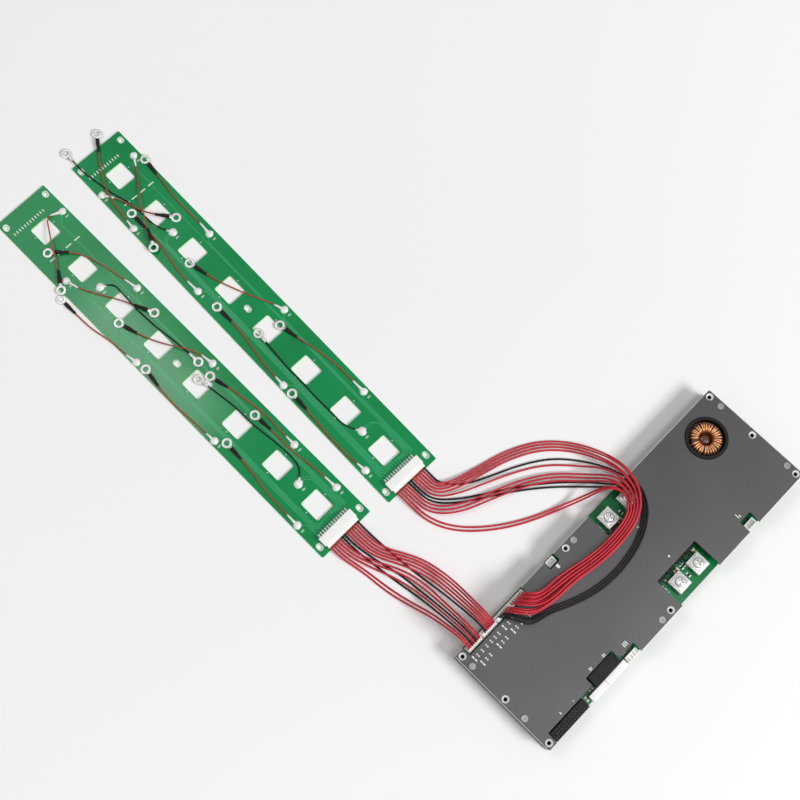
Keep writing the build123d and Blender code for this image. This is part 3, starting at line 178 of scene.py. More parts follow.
# A header pin: y and level along it, its section, and the solder round its foot
PIN_PATH = [(HEADER_BACK - 0.4, 3.1), (HEADER_BACK + 0.5, 3.1), (HEADER_BACK + 0.95, 2.85),
            (HEADER_BACK + 1.2, 2.45), (HEADER_BACK + 1.6, 2.12), (HEADER_BACK + 2.0, 2.05),
            (FOOT_END + 0.15, 2.05)]
PIN_SECTION = [(-0.5, -0.3), (-0.5, 0.22), (-0.36, 0.34), (0.36, 0.34), (0.5, 0.22), (0.5, -0.3)]
PIN_FILLET = [(0.72, TAP_TOP), (0.62, TAP_TOP + 0.3), (0.42, TAP_TOP + 0.62), (0.1, TAP_TOP + 0.75)]

# Cords, ring terminals, sleeves and solder joints
WIRE_DIAMETER = 1.6
LEAD_DIAMETER = 1.2
LEAD_REST = 2.5
BLACK_WIRES = (1, 7, 8)
RING_OUTER = 8.8
RING_HOLE = 4.6
RING_THICKNESS = 0.8
RING_DROP = 1.6
BARREL = 2.2
SENSOR_BARREL = 2.6
BARREL_END = 10.4
SLEEVE_RADIUS = 1.74
SLEEVE_START = 6.2
SLEEVE_LENGTH = 12.0
SLEEVE_TAPER = (10.6, 3.6)
SLEEVE_STEPS = 24
SLEEVE_END = 18.4
JOINT_TAIL = 5.5
LEAD_JOINT = (3.5, 1.8)
SENSOR_JOINT = (3.9, 1.9)
LEAD_STRAND = 11.0
LEAD_STRAND_SPREAD = 2.0
SENSOR_STRAND = 9.0
JOINT_SHOULDER = 2.1
JOINT_STEPS = 56
JOINT_SHAPE = [(1.0, -0.02), (0.985, 0.12), (0.93, 0.3), (0.84, 0.47), (0.72, 0.63), (0.58, 0.78),
               (0.42, 0.9), (0.25, 0.97), (0.08, 1.0)]
EDGE_WAVES = ((2, 0.35), (3, 0.3), (5, 0.2), (7, 0.15))

# The middle part of a noise, which is spread over the whole of a mix
NOISE_MIDDLE = (0.3, 0.7)

# Short leads whose centre length is not measured. Short leads that stay without cord
# facts, because 40 cords at most can have them
RIGID_LEADS = {"a": ("red_1", "red_2", "red_3", "red_5", "red_9"), "b": ("red_4", "red_7", "red_9")}

# Printed dashes beside the balance sockets: centre, and whether the dash is a long one. Each is
# in two halves.
COVER_DASHES = [(x, 37.7, x in (-140.2, -106.8)) for x in (
    -140.2, -136.4, -131.5, -126.5, -121.6, -117.3, -113.1, -106.8, -101.9, -97.2, -93.3)]
COVER_DASHES += [(x, 31.0, x in (-138.0, -119.8, -103.9, -86.5)) for x in (
    -138.0, -133.6, -129.3, -119.8, -115.6, -111.3, -103.9, -99.7, -95.3, -86.5, -82.1)]

# Other printed marks: centre, width and length
COVER_MARKS = [
    (-42.7, 40.3, 2.2, 3.4), (86.2, -34.2, 0.7, 4.2), (88.0, -35.6, 0.9, 2.0),
    (24.5, -16.6, 1.6, 1.6), (24.5, 16.1, 1.6, 1.6), (-50.5, -37.2, 0.8, 3.6), (-48.9, -37.2, 0.8, 3.6),
    (-52.1, -37.2, 0.8, 3.6), (-69.1, -31.2, 0.8, 2.6), (-67.6, -31.2, 0.8, 2.0), (-83.7, -30.9, 0.8, 2.6),
    (-82.2, -30.9, 0.8, 2.0), (-123.4, -36.7, 0.8, 2.2), (-110.0, -37.6, 0.6, 1.2),
]

# Small parts on the unit's board: place, turn, length, width, height and colour
CHIPS = [
    (10.5, -29.0, 90, 3.2, 1.7, 1.1, "tan"), (22.0, -28.8, 0, 4.4, 3.0, 1.9, "tan"),
    (27.3, -30.2, 90, 3.2, 1.7, 0.9, "dark"), (30.2, -30.2, 90, 3.2, 1.7, 0.9, "dark"),
    (43.8, -29.2, 90, 4.4, 2.6, 1.7, "tan"), (5.2, -31.0, 90, 2.2, 1.3, 0.7, "dark"),
    (5.2, -35.0, 90, 2.2, 1.3, 0.7, "dark"), (26.6, -38.0, 90, 3.2, 1.7, 0.9, "dark"),
    (9.0, 30.6, 90, 3.2, 1.7, 1.1, "tan"), (20.5, 29.8, 0, 4.4, 2.8, 1.8, "tan"),
    (26.2, 33.4, 90, 3.2, 1.7, 0.9, "dark"), (43.6, 30.4, 90, 3.2, 1.7, 1.1, "dark"),
    (5.0, 34.6, 90, 2.2, 1.3, 0.7, "dark"), (5.0, 38.6, 90, 2.2, 1.3, 0.7, "dark"),
    (-55.0, -41.9, 0, 2.2, 1.3, 0.7, "tan"), (-100.8, -45.0, 90, 3.2, 1.7, 1.0, "tan"),
    (-93.0, -42.6, 0, 2.2, 1.3, 0.7, "dark"),
]

# Harness A, its wires in order from the tap plug's +X end: each wire's x along the route and its
# first levels. All share the y of their points and, over the unit, the levels of two layers,
# one for even and one for odd wires.
ROUTE_A_Y = (179.7, 168, 150, 124, 104, 86, 70, 58.5, 50.5, 46.3, 46)
ROUTE_A_LAYERS = ((13.3, 25.8, 31.3, 29.9, 24.2, 17.8), (14.7, 27.2, 32.7, 31.3, 24.2, 17.8))
HARNESS_A_WIRES = [
    ((-127.5, -127.6, -126.6, -124.6, -122, -120.7, -120.2, -119.8, -119.9), (4.6, 3, 0.9, 0.9, 2.8)),
    ((-130, -130.1, -128.3, -113.2, -108.6, -107.9, -109.2, -109.8, -109.9), (4.6, 4.6, 3.3, 3, 5.2)),
    ((-132.5, -132.6, -130.9, -115.8, -111.2, -110.2, -111.3, -111.8, -111.9), (4.6, 4.6, 3.5, 3.3, 4.4)),
    ((-135, -135.1, -133.4, -118.3, -113.4, -112.8, -113.5, -113.8, -113.9), (4.6, 4.6, 3.2, 2.9, 4.4)),
    ((-137.5, -137.6, -135.8, -121.2, -116.1, -115.3, -115.7, -115.8, -115.9), (4.6, 4.6, 3.6, 3.2, 4.4)),
    ((-140, -140.1, -138.2, -124.4, -118.7, -117.9, -117.9, -117.8, -117.9), (4.6, 4.6, 3.3, 3.4, 4.4)),
    ((-142.5, -142.6, -139.6, -133.2, -131.4, -130.4, -130.1, -129.9, -130), (4.6, 2.8, 0.9, 0.9, 2.6)),
    ((-145, -145.1, -143.2, -139.6, -136.2, -134.9, -134.3, -133.9, -134), (4.6, 2.6, 0.9, 0.9, 2.6)),
    ((-147.5, -147.6, -142.2, -128.4, -125, -125.3, -125.8, -125.9, -126), (4.6, 4.6, 3.4, 3.1, 5)),
    ((-150, -150.1, -145, -131.6, -128.2, -127.7, -127.9, -127.9, -128), (4.6, 4.6, 3.2, 3.3, 4.4)),
    ((-152.5, -152.6, -147.7, -137.6, -133.7, -132.6, -132.2, -131.9, -132), (4.6, 4.6, 3.5, 3.2, 4.4)),
    ((-155, -155.1, -151, -147.6, -143.4, -138.6, -136.9, -135.9, -136), (4.6, 4.6, 1, 0.9, 4.4)),
    ((-157.5, -157.6, -153.4, -150.8, -146.3, -141.5, -139.2, -137.9, -138), (4.6, 4.6, 0.9, 1, 4.4)),
]

# Harness B, counted the same way. The black wires' routes are whole. Each red wire has its free
# points, its points in the bundle, which are in plan and get their levels from two layers, and
# its x in the balance plugs, from which the landing is counted.
LANDING = ((5, 38.2), (1, 43.8), (0.1, 45.8), (0, 46))
BUNDLE_LAYERS = ((22.2, 22.2, 21.4, 19.5, 19.5, 19.5, 20.3, 25.2, 29.5, 26.9, 22.4, 17.8),
                 (24.5, 24.5, 23.7, 21.6, 21.6, 21.6, 22.4, 27.3, 31.6, 29.3, 23.2, 17.8))
HARNESS_B_BLACK = {
    1: [(-58.5, 172.3, 4.6), (-58.6, 163.5, 3.6), (-58, 154, 0.9), (-45, 139, 0.9), (-24, 128.6, 0.9),
        (0, 117.6, 0.9), (22, 103, 0.9), (38, 83, 1.6), (45.4, 66, 9.5), (46.8, 52.6, 19.9),
        (51.6, 38.2, 19.1), (42.6, 20.6, 19.1), (22.5, 7.6, 19.1), (-3.5, 2.2, 19.1), (-29.5, 2.8, 19.1),
        (-54, 10, 19.1), (-75.5, 20.8, 19.3), (-91.8, 23.8, 23.2), (-98.8, 38, 29.3), (-102.8, 43.8, 26.8),
        (-103.7, 45.8, 22.4), (-103.8, 46, 17.8)],
    7: [(-73.5, 172.8, 4.6), (-73.6, 162.6, 3.6), (-71.8, 148.6, 0.9), (-56.5, 134, 0.9), (-36, 120.4, 0.9),
        (-15, 106.6, 0.9), (6, 90, 0.9), (22.5, 74, 1.4), (31.6, 62, 8), (36.4, 52.4, 19.9),
        (49, 38.2, 19.1), (41.1, 22.1, 19.1), (21.6, 9.5, 19.1), (-3.7, 4.3, 19.1), (-29.2, 4.9, 19.1),
        (-53.2, 11.9, 19.1), (-74.5, 22.6, 19.3), (-89.8, 25.3, 25.3), (-96.8, 38, 31.4),
        (-100.8, 43.8, 28.9), (-101.7, 45.8, 23.2), (-101.8, 46, 17.8)],
    8: [(-76, 172.9, 4.6), (-76.1, 162.5, 3.6), (-74, 147.2, 0.9), (-58.4, 131.6, 0.9), (-37.8, 118, 0.9),
        (-16.8, 104.2, 0.9), (3.8, 87.4, 0.9), (19.8, 71.2, 1.4), (28.8, 60.2, 8), (33.8, 52, 19.9),
        (46, 37.8, 19.1), (39.6, 23.6, 19.1), (20.8, 11.4, 19.1), (-3.9, 6.4, 19.1), (-28.9, 7, 19.1),
        (-52.4, 13.9, 19.1), (-73.5, 24.5, 19.3), (-87.8, 26.8, 21.7), (-94.8, 38, 27.8),
        (-98.8, 43.8, 25.3), (-99.7, 45.8, 21.8), (-99.8, 46, 17.8)],
}
HARNESS_B_RED = {
    2: ([(-61, 172.4, 4.6), (-61.2, 163.5, 4.8), (-60.3, 154.4, 4), (-49, 147.5, 3.2), (-28, 142, 1.1),
         (0, 134.5, 0.9), (26, 120, 0.9), (45, 98, 1.2), (53.6, 70, 15.4)],
        [(53, 49), (46, 32.5), (31, 20.5), (9, 16.6), (-17, 17.6), (-42.5, 22.6), (-64, 23.5),
         (-85, 28.2)], -97.8),
    3: ([(-63.5, 172.5, 4.6), (-63.7, 163.3, 4.6), (-62.4, 153.2, 4.2), (-50.3, 145.6, 3.4),
         (-28.4, 139.7, 1.3), (-1.4, 132.4, 0.9), (24.4, 118.3, 0.9), (43.2, 96.6, 1.2),
         (51.4, 69.4, 17.2)],
        [(51.5, 49), (45.1, 33), (30.7, 21.2), (8.9, 17.4), (-16.9, 18.3), (-42.3, 23.4), (-64, 24.3),
         (-83, 28.8)], -95.8),
    4: ([(-66, 172.6, 4.6), (-66.2, 163.1, 4.7), (-64.9, 152, 4.4), (-51.6, 143.6, 3.6), (-29, 137.4, 1.5),
         (-2.6, 130.2, 0.9), (22.8, 116.4, 0.9), (41.4, 95.1, 1.2), (49.2, 68.9, 15.4)],
        [(48.7, 49), (43.6, 34.1), (30, 22.4), (8.8, 18.7), (-16.7, 19.7), (-41.9, 24.9), (-64, 25.6),
         (-81, 29.9)], -93.8),
    5: ([(-68.5, 172.7, 4.6), (-68.7, 162.9, 4.6), (-67.4, 150.9, 4.6), (-53, 141.4, 3.9),
         (-29.8, 135.1, 1.7), (-4, 128, 0.9), (21, 114.4, 0.9), (39.4, 93.6, 1.2), (47, 68.4, 17.2)],
        [(47.2, 49), (42.7, 34.6), (29.7, 23.1), (8.8, 19.5), (-16.7, 20.5), (-41.6, 25.7), (-64, 26.4),
         (-76.9, 30.5)], -89.7),
    6: ([(-71, 172.7, 4.6), (-71.2, 162.7, 4.7), (-69.8, 149.4, 4.4), (-56, 138.4, 3.6), (-32, 127.6, 3),
         (-8, 117, 1), (14, 103.4, 0.9), (32, 83.5, 1.6), (43.4, 65, 16.6)],
        [(44.4, 49), (41.1, 35.6), (29.1, 24.3), (8.7, 20.9), (-16.5, 21.9), (-41.2, 27.2), (-64, 27.8),
         (-74.9, 31.6)], -87.7),
    9: ([(-78.5, 173, 4.6), (-78.6, 162.4, 4.7), (-76.9, 145.2, 4.1), (-60.4, 130.6, 3.2),
         (-36, 120.2, 3.2), (-11, 109.6, 2.6), (12, 94.8, 3), (29.6, 75, 4.6), (38.8, 60.5, 21.4)],
        [(42.9, 48.9), (40.3, 36.2), (28.7, 25), (8.6, 21.6), (-16.4, 22.6), (-41, 28), (-57, 30),
         (-72.9, 32.2)], -85.7),
    10: ([(-81, 173.1, 4.6), (-81.1, 162.3, 4.6), (-79.4, 143.4, 4.2), (-62.4, 128.2, 3.2),
         (-37.4, 117.8, 3.2), (-12.6, 107.2, 2.8), (10.3, 92.4, 3.2), (27.6, 73, 4.2), (36.6, 59.4, 20.2)],
        [(40.2, 48.9), (38.7, 37.2), (28.1, 26.3), (8.5, 23), (-16.2, 24), (-40.6, 29.6), (-57, 31.3),
         (-70.9, 33.4)], -83.7),
    11: ([(-83.5, 173.2, 4.6), (-83.6, 162.2, 4.8), (-81.8, 141.8, 4.3), (-64.4, 125.8, 3.4),
         (-39.2, 115.3, 3.3), (-14.6, 104.8, 3), (8.2, 90.2, 3.3), (25.2, 71.2, 4.6), (34.2, 58.4, 21.6)],
        [(38.7, 48.9), (37.8, 37.7), (27.8, 26.9), (8.4, 23.8), (-16.1, 24.8), (-40.3, 30.4), (-57, 32.1),
         (-68.9, 34)], -81.7),
    12: ([(-86, 173.3, 4.6), (-86.1, 162.1, 4.4), (-85, 140, 2.2), (-75, 120, 0.9), (-56.5, 101.5, 0.9),
         (-34, 86, 0.9), (-9.5, 74.4, 0.9), (13.5, 64.4, 6.4), (30.2, 56.6, 20.8)],
        [(35.9, 48.9), (36.2, 38.8), (27.2, 28.2), (8.3, 25.2), (-16, 26.1), (-39.9, 31.9), (-53, 34.5),
         (-66.9, 35.1)], -79.7),
    13: ([(-88.5, 173.4, 4.6), (-88.6, 162, 4.4), (-87.8, 138.8, 2.2), (-77.6, 118.2, 0.9),
         (-58.6, 99.4, 0.9), (-35.8, 83.8, 0.9), (-10.7, 72.2, 0.9), (12, 62.4, 6.8), (27.6, 55.8, 22.6)],
        [(34.4, 48.9), (35.4, 39.3), (26.8, 28.9), (8.3, 25.9), (-15.9, 26.9), (-39.7, 32.7), (-53, 35.2),
         (-64.9, 35.7)], -77.7),
}

# Leads in each tap board's own axes: ring centre, route points and solder joint centre.
# The first point of a route sets the level of its ring and barrel.
LEADS_A = {
    "red_1": ((-26.2, 118), [(-12, 139.5, 3.5), (-4.5, 153, 8.2), (2.8, 167, 4.5),
        (8.8, 178, 2.5)], (22, 173)),
    "red_2": ((-12, 152), [(5, 135.5, 3.5), (12, 118, 2.6), (16.5, 98, 2.5)], (21, 74)),
    "red_3": ((-31.6, 112.5), [(-31.2, 88, 1.9), (-30.4, 72, 2.6), (-26.2, 54, 2.6),
        (-25.5, 38, 2.5)], (-23.4, 25)),
    "black_1": ((13.5, -12), [(12.4, 13, 3.5), (9.5, 31, 2.6), (8.3, 50, 3.2), (8, 67, 6.2), (9, 81, 3),
        (9.6, 90.5, 2.5)], (-1, 97)),
    "red_4": ((-11, 61), [(-4.2, 36.5, 3.5), (3.5, 20, 3.2), (12.5, 5, 6.7), (19, -6, 2.5)], (21, -21)),
    "red_5": ((16.5, 46.5), [(6.5, 69.5, 3.5), (-1, 84, 2.6), (-9, 98, 2.6),
        (-14.5, 109, 2.5)], (-17.6, 121.9)),
    "red_6": ((12, -28), [(17.5, -53, 3.5), (20.4, -71, 2.5), (22, -86, 2.5),
        (21.6, -101, 2.5)], (21.3, -120)),
    "black_2": ((3.5, -23.5), [(7, -48, 3.5), (9, -64, 2.5), (8.6, -81, 2.5), (10.6, -98, 2.5),
        (12.4, -112, 2.5), (13, -126, 2.5), (11.2, -138.5, 2.5)], (1, -146)),
    "red_7": ((15.5, -79), [(16.6, -104, 3.5), (15.9, -120, 2.5), (18.2, -137, 2.5),
        (20.2, -153, 2.5)], (21, -170)),
    "red_8": ((-17, -80), [(-18.2, -105, 3.5), (-20.5, -122, 2.5), (-22.5, -139, 2.5),
        (-22.8, -155, 2.5)], (-23, -170)),
    "red_9": ((-22, 14.5), [(-25.2, -10, 3.5), (-25.8, -27, 2.5), (-24.6, -43, 2.5),
        (-23.6, -57, 2.5)], (-23, -71)),
}
LEADS_B = {
    "red_1": ((-22.5, 96), [(-12, 119.3, 6), (-4.5, 133, 7.4), (5, 149, 4), (13.5, 162, 2.5)], (21, 176)),
    "red_2": ((26, 166), [(23.5, 141, 3.5), (21.2, 124, 2.5), (20.8, 107, 2.5), (21.8, 92, 2.5)], (21, 74)),
    "black_1": ((-21, 218), [(-21.8, 193, 3.5), (-18.6, 177, 2.6), (-16, 161, 2.5), (-11, 146, 2.5),
        (-9, 130, 2.5), (-8.8, 117, 2.5), (-7, 107.5, 2.5)], (-1, 97)),
    "red_3": ((11, 214), [(-2.6, 194.2, 3.5), (-10, 181, 3.8), (-17, 167.5, 5), (-20.8, 153, 4.6),
        (-22.6, 140, 2.5)], (-23.4, 123)),
    "red_4": ((10, 105), [(-6, 125, 3.5), (-12, 141, 5.2), (-15.8, 153.5, 2.5)], (-23.4, 166)),
    "red_5": ((-15.5, 134.5), [(-15.6, 110, 3.5), (-16.6, 92, 2.5), (-19.5, 76, 2.5),
        (-21.5, 60, 2.5)], (-20.5, 41)),
    "red_6": ((-9, 65), [(-4, 40.5, 3.5), (2.5, 24, 2.5), (9, 8, 2.5), (16, -6, 2.5)], (22, -22)),
    "red_7": ((-18, 19), [(-17.5, -6, 3.5), (-19.5, -23, 2.5), (-21.8, -40, 2.5),
        (-23, -55, 2.5)], (-23, -71)),
    "red_8": ((10, -30), [(14.5, -54.6, 3.5), (18.8, -71, 2.5), (21, -88, 2.5),
        (21.6, -104, 2.5)], (22, -121)),
    "black_2": ((-8, -23), [(-9.5, -48, 3.5), (-10.4, -65, 2.5), (-9.8, -82, 2.5), (-10.4, -99, 2.5),
        (-9.4, -116, 2.5), (-9.8, -132, 2.5)], (-2, -145)),
    "red_9": ((-22.5, -81.5), [(-23.2, -106, 3.5), (-24.4, -123, 2.5), (-24.8, -140, 2.5),
        (-24.2, -155, 2.5)], (-22.3, -171)),
}


def mm(*values):
    """Millimetres to a vector in metres."""
    return Vector(values) * MM


def turns_round(count):
    return [2 * math.pi * step / count for step in range(count)]


def routes_a():
    routes = {}
    for number, (xs, levels) in enumerate(HARNESS_A_WIRES, 1):
        xs += xs[-1:] * 2
        routes[number] = list(zip(xs, ROUTE_A_Y, levels + ROUTE_A_LAYERS[number % 2]))
    return routes


def routes_b():
    routes = dict(HARNESS_B_BLACK)
    for number, (free, bundle, end_x) in HARNESS_B_RED.items():
        plan = bundle + [(end_x + x, y) for x, y in LANDING]
        routes[number] = free + [(x, y, level) for (x, y), level in zip(plan, BUNDLE_LAYERS[number % 2])]
    return dict(sorted(routes.items()))


def tap_place(board):
    """A tap board's own axes in the row frame, in millimetres."""
    turn = Matrix.Rotation(math.radians(TAP_TURNS[board]), 4, "Z")
    return Matrix.Translation((*TAP_CENTRES[board], 0)) @ turn


TAP_PLACES = {board: tap_place(board) for board in TAP_CENTRES}


def camera():
    forward = Vector(CAMERA_FORWARD).normalized()
    right = forward.cross(Vector(CAMERA_UP)).normalized()
    data = bpy.data.cameras.new("camera")
    data.sensor_width = CAMERA_SENSOR
    data.lens = CAMERA_LENS
    data.clip_start, data.clip_end = CAMERA_CLIP
    seen = bpy.data.objects.new("camera", data)
    turn = Matrix((right, right.cross(forward), -forward)).transposed().to_4x4()
    seen.matrix_world = Matrix.Translation(mm(*CAMERA_PLACE)) @ turn
    bpy.context.collection.objects.link(seen)
    bpy.context.scene.camera = seen


def lights():
    for name, place, aim, size, power in LAMPS:
        data = bpy.data.lights.new(name, "AREA")
        data.shape = "RECTANGLE"
        data.size, data.size_y = size
        data.energy = power
        lamp = bpy.data.objects.new(name, data)
        lamp.location = place
        lamp.rotation_euler = (Vector(aim) - Vector(place)).to_track_quat("-Z", "Y").to_euler()
        bpy.context.collection.objects.link(lamp)


class Shader:
    """A material with one Principled shader, and short calls that add nodes to it."""

    def __init__(self, name, **values):
        self.material = bpy.data.materials.new(name)
        self.material.use_nodes = True
        self.tree = self.material.node_tree
        self.surface = self.tree.nodes["Principled BSDF"]
        for socket, value in values.items():
            self.surface.inputs[socket.replace("_", " ")].default_value = value
        self.coordinates = self.node("ShaderNodeTexCoord").outputs["Object"]

    def node(self, kind, inputs=None, **settings):
        made = self.tree.nodes.new(kind)
        for key, value in settings.items():
            setattr(made, key, value)
        for key, value in (inputs or {}).items():
            if isinstance(value, bpy.types.NodeSocket):
                self.tree.links.new(value, made.inputs[key])
            else:
                made.inputs[key].default_value = value
        return made

    def feed(self, socket, value):
        self.tree.links.new(value, self.surface.inputs[socket])

    def noise(self, scale, detail, vector=None):
        inputs = {"Vector": vector or self.coordinates, "Scale": scale, "Detail": detail}
        return self.node("ShaderNodeTexNoise", inputs).outputs["Fac"]

    def ranged(self, value, low, high, to_low=0.0, to_high=1.0):
        return self.node("ShaderNodeMapRange", {
            "Value": value, "From Min": low, "From Max": high, "To Min": to_low, "To Max": to_high,
        }).outputs["Result"]

    def maths(self, operation, first, second=0.0):
        return self.node("ShaderNodeMath", {0: first, 1: second}, operation=operation).outputs[0]

    def mix(self, factor, first, second):
        inputs = {"Factor": factor, 6: first, 7: second}
        return self.node("ShaderNodeMix", inputs, data_type="RGBA").outputs[2]

    def clouded(self, cloud, first, second):
        """Two screen colours mixed by a noise."""
        return self.mix(self.ranged(cloud, *NOISE_MIDDLE), rgb(*first), rgb(*second))

    def normal_z(self):
        """How far a face looks up or down: 1 on a level face, 0 on an upright one."""
        normal = self.node("ShaderNodeNewGeometry").outputs["True Normal"]
        part = self.node("ShaderNodeSeparateXYZ", {"Vector": normal}).outputs["Z"]
        return self.maths("ABSOLUTE", part)

    def bump(self, height, strength, distance):
        inputs = {"Height": height, "Strength": strength, "Distance": distance}
        self.feed("Normal", self.node("ShaderNodeBump", inputs).outputs["Normal"])

    def finished(self, cloud, colours, grain, roughness, relief):
        """The material, its colours mixed by the cloud, its roughness and bump by the grain."""
        self.feed("Base Color", self.clouded(cloud, *colours))
        self.feed("Roughness", self.ranged(grain, *NOISE_MIDDLE, *roughness))
        self.bump(grain, *relief)
        return self.material


def rgb(red, green, blue):
    """A colour given as it looks on the screen, 0 to 255, as linear values."""
    def linear(value):
        value /= 255
        return value / 12.92 if value <= 0.04045 else ((value + 0.055) / 1.055) ** 2.4
    return (linear(red), linear(green), linear(blue), 1.0)


def plate_metal():
    """Grey anodised sheet, with a painted highlight: its bevels and countersinks are painted bright grey."""
    shader = Shader("plate_metal", Metallic=0.55, Roughness=0.42)
    stretched = shader.node("ShaderNodeMapping", {"Vector": shader.coordinates, "Scale": (1.0, 6.0, 1.0)})
    grain = shader.noise(900.0, 4.0, stretched.outputs["Vector"])
    tone = shader.clouded(shader.noise(9.0, 2.0), (62, 61, 63), (76, 75, 76))
    tone = shader.mix(shader.ranged(grain, 0.35, 0.75, 0.0, 0.25), tone, rgb(112, 111, 111))
    # Painted highlight: faces that slope between level and upright, the bevels and countersinks, get a
    # bright grey in place of the sheet's tone
    level = shader.normal_z()
    bevel = shader.maths("MULTIPLY", shader.maths("GREATER_THAN", level, 0.45),
                         shader.maths("LESS_THAN", level, 0.9))
    shader.feed("Base Color", shader.mix(bevel, tone, rgb(225, 225, 225)))
    shader.feed("Roughness", shader.ranged(grain, 0.2, 0.8, 0.31, 0.43))
    shader.bump(grain, 0.12, 0.00005)
    return shader.material


def board_mask(name, deep, pale):
    """Green solder mask over laminate, whose cut edges show paler."""
    shader = Shader(name, Roughness=0.13, Specular_IOR_Level=0.2)
    cloud = shader.noise(14.0, 3.0)
    weave = shader.noise(1400.0, 2.0)
    tone = shader.clouded(cloud, deep, pale)
    tone = shader.mix(shader.ranged(weave, 0.4, 0.8, 0.0, 0.14), tone, rgb(24, 150, 88))
    edge = shader.maths("LESS_THAN", shader.normal_z(), 0.5)
    shader.feed("Base Color", shader.mix(edge, tone, rgb(150, 205, 140)))
    shader.feed("Roughness", shader.ranged(cloud, *NOISE_MIDDLE, 0.11, 0.16))
    shader.bump(weave, 0.03, 0.00003)
    return shader.material


def moulded(name, colour, second, roughness, scale=240.0, strength=0.12, gloss=0.5):
    """Moulded plastic with a fine grain and slight clouding."""
    shader = Shader(name, Roughness=roughness, Specular_IOR_Level=gloss)
    return shader.finished(shader.noise(scale * 0.4, 2.0), (colour, second), shader.noise(scale * 8, 3.0),
                           (roughness * 0.9, roughness * 1.15), (strength, 0.00004))


def metal(name, colour, second, roughness, scale=300.0, metallic=1.0):
    """Bare or plated metal with faint marks."""
    shader = Shader(name, Metallic=metallic, Roughness=roughness)
    marks = shader.noise(scale, 4.0)
    return shader.finished(marks, (colour, second), marks, (roughness * 0.8, roughness * 1.3),
                           (0.1, 0.00005))


def insulation(name, colour, second, roughness=0.42, gloss=0.3):
    """Soft wire insulation, its colour a little uneven along the wire."""
    shader = Shader(name, Roughness=roughness, Specular_IOR_Level=gloss)
    return shader.finished(shader.noise(60.0, 2.0), (colour, second), shader.noise(2600.0, 2.0),
                           (roughness * 0.85, roughness * 1.2), (0.08, 0.00003))


MATERIALS = {
    "plate": plate_metal(),
    "tap_mask": board_mask("tap_mask", (0, 128, 68), (4, 140, 78)),
    "unit_mask": board_mask("unit_mask", (2, 104, 54), (8, 118, 64)),
    "track": moulded("masked_track", (56, 170, 116), (44, 160, 106), 0.3, 60.0, 0.02),
    "silk": moulded("white_ink", (238, 240, 236), (222, 226, 220), 0.6, 400.0, 0.05),
    "resin": moulded("potting_resin", (88, 44, 30), (66, 32, 22), 0.2, 30.0, 0.03),
    "tan": moulded("ceramic", (172, 148, 112), (156, 132, 98), 0.5, 200.0, 0.08),
    "white": moulded("white_nylon", (247, 247, 245), (240, 240, 237), 0.45),
    "black": moulded("black_plastic", (19, 19, 21), (27, 27, 29), 0.5, gloss=0.18),
    "cup": moulded("cup_plastic", (10, 10, 11), (15, 15, 16), 0.34, gloss=0.22),
    "ferrite": moulded("ferrite", (58, 30, 20), (76, 42, 26), 0.6),
    "copper": metal("enamelled_copper", (226, 170, 118), (204, 138, 88), 0.33, 500.0, 0.6),
    "screw_grey": metal("dull_screw", (150, 150, 152), (134, 134, 137), 0.42, 400.0, 0.6),
    "steel": metal("zinc_steel", (190, 190, 192), (170, 170, 172), 0.35),
    "screw": metal("plated_screw", (208, 208, 206), (184, 184, 183), 0.3, 400.0, 0.75),
    "tin": metal("tin_plate", (206, 206, 203), (182, 182, 180), 0.33, metallic=0.55),
    "solder": metal("solder", (236, 236, 234), (222, 223, 221), 0.32, 500.0, 0.1),
    "red_wire": insulation("red_insulation", (200, 42, 58), (180, 30, 46)),
    "black_wire": insulation("black_insulation", (14, 13, 15), (22, 21, 23), 0.5, 0.2),
    "red_lead": insulation("red_lead_insulation", (166, 76, 52), (144, 60, 44)),
    "sleeve": insulation("shrunk_sleeve", (24, 16, 15), (16, 13, 13), 0.5, 0.2),
}

NODE_MATERIALS = {
    "base_plate": "plate", "heatsink_cover": "plate", "unit_circuit_board": "unit_mask",
    "spacers": "steel", "cover_screws": "screw_grey", "toroid_cup": "cup", "toroid_core": "ferrite",
    "toroid_winding": "copper", "power_terminals": "tin", "terminal_screws": "screw",
    "power_transistors": "black", "balance_headers": "white", "balance_plugs": "white",
    "side_connectors": "white", "relay_block": "black", "long_white_connector": "white",
    "slotted_connector": "white", "multi_pin_block": "black",
    "tap_board_a": "tap_mask", "tap_board_b": "tap_mask", "tap_header_a": "white",
    "tap_header_b": "white", "tap_plug_a": "white", "tap_plug_b": "white",
    "solder_joints_a": "solder", "solder_joints_b": "solder", "ring_terminals_a": "tin",
    "ring_terminals_b": "tin", "heat_shrinks_a": "sleeve", "heat_shrinks_b": "sleeve",
}

# CAD nodes of the unit shown as copies with rounded edges, with their rounding
ROUNDED = {
    "power_terminals": 0.2, "power_transistors": 0.12, "balance_headers": 0.15, "balance_plugs": 0.12,
    "side_connectors": 0.15, "relay_block": 0.2, "long_white_connector": 0.2, "slotted_connector": 0.15,
    "multi_pin_block": 0.15,
}


def dress_nodes():
    for name, key in NODE_MATERIALS.items():
        slots = nodes[name].data.materials
        slots.clear()
        slots.append(MATERIALS[key])


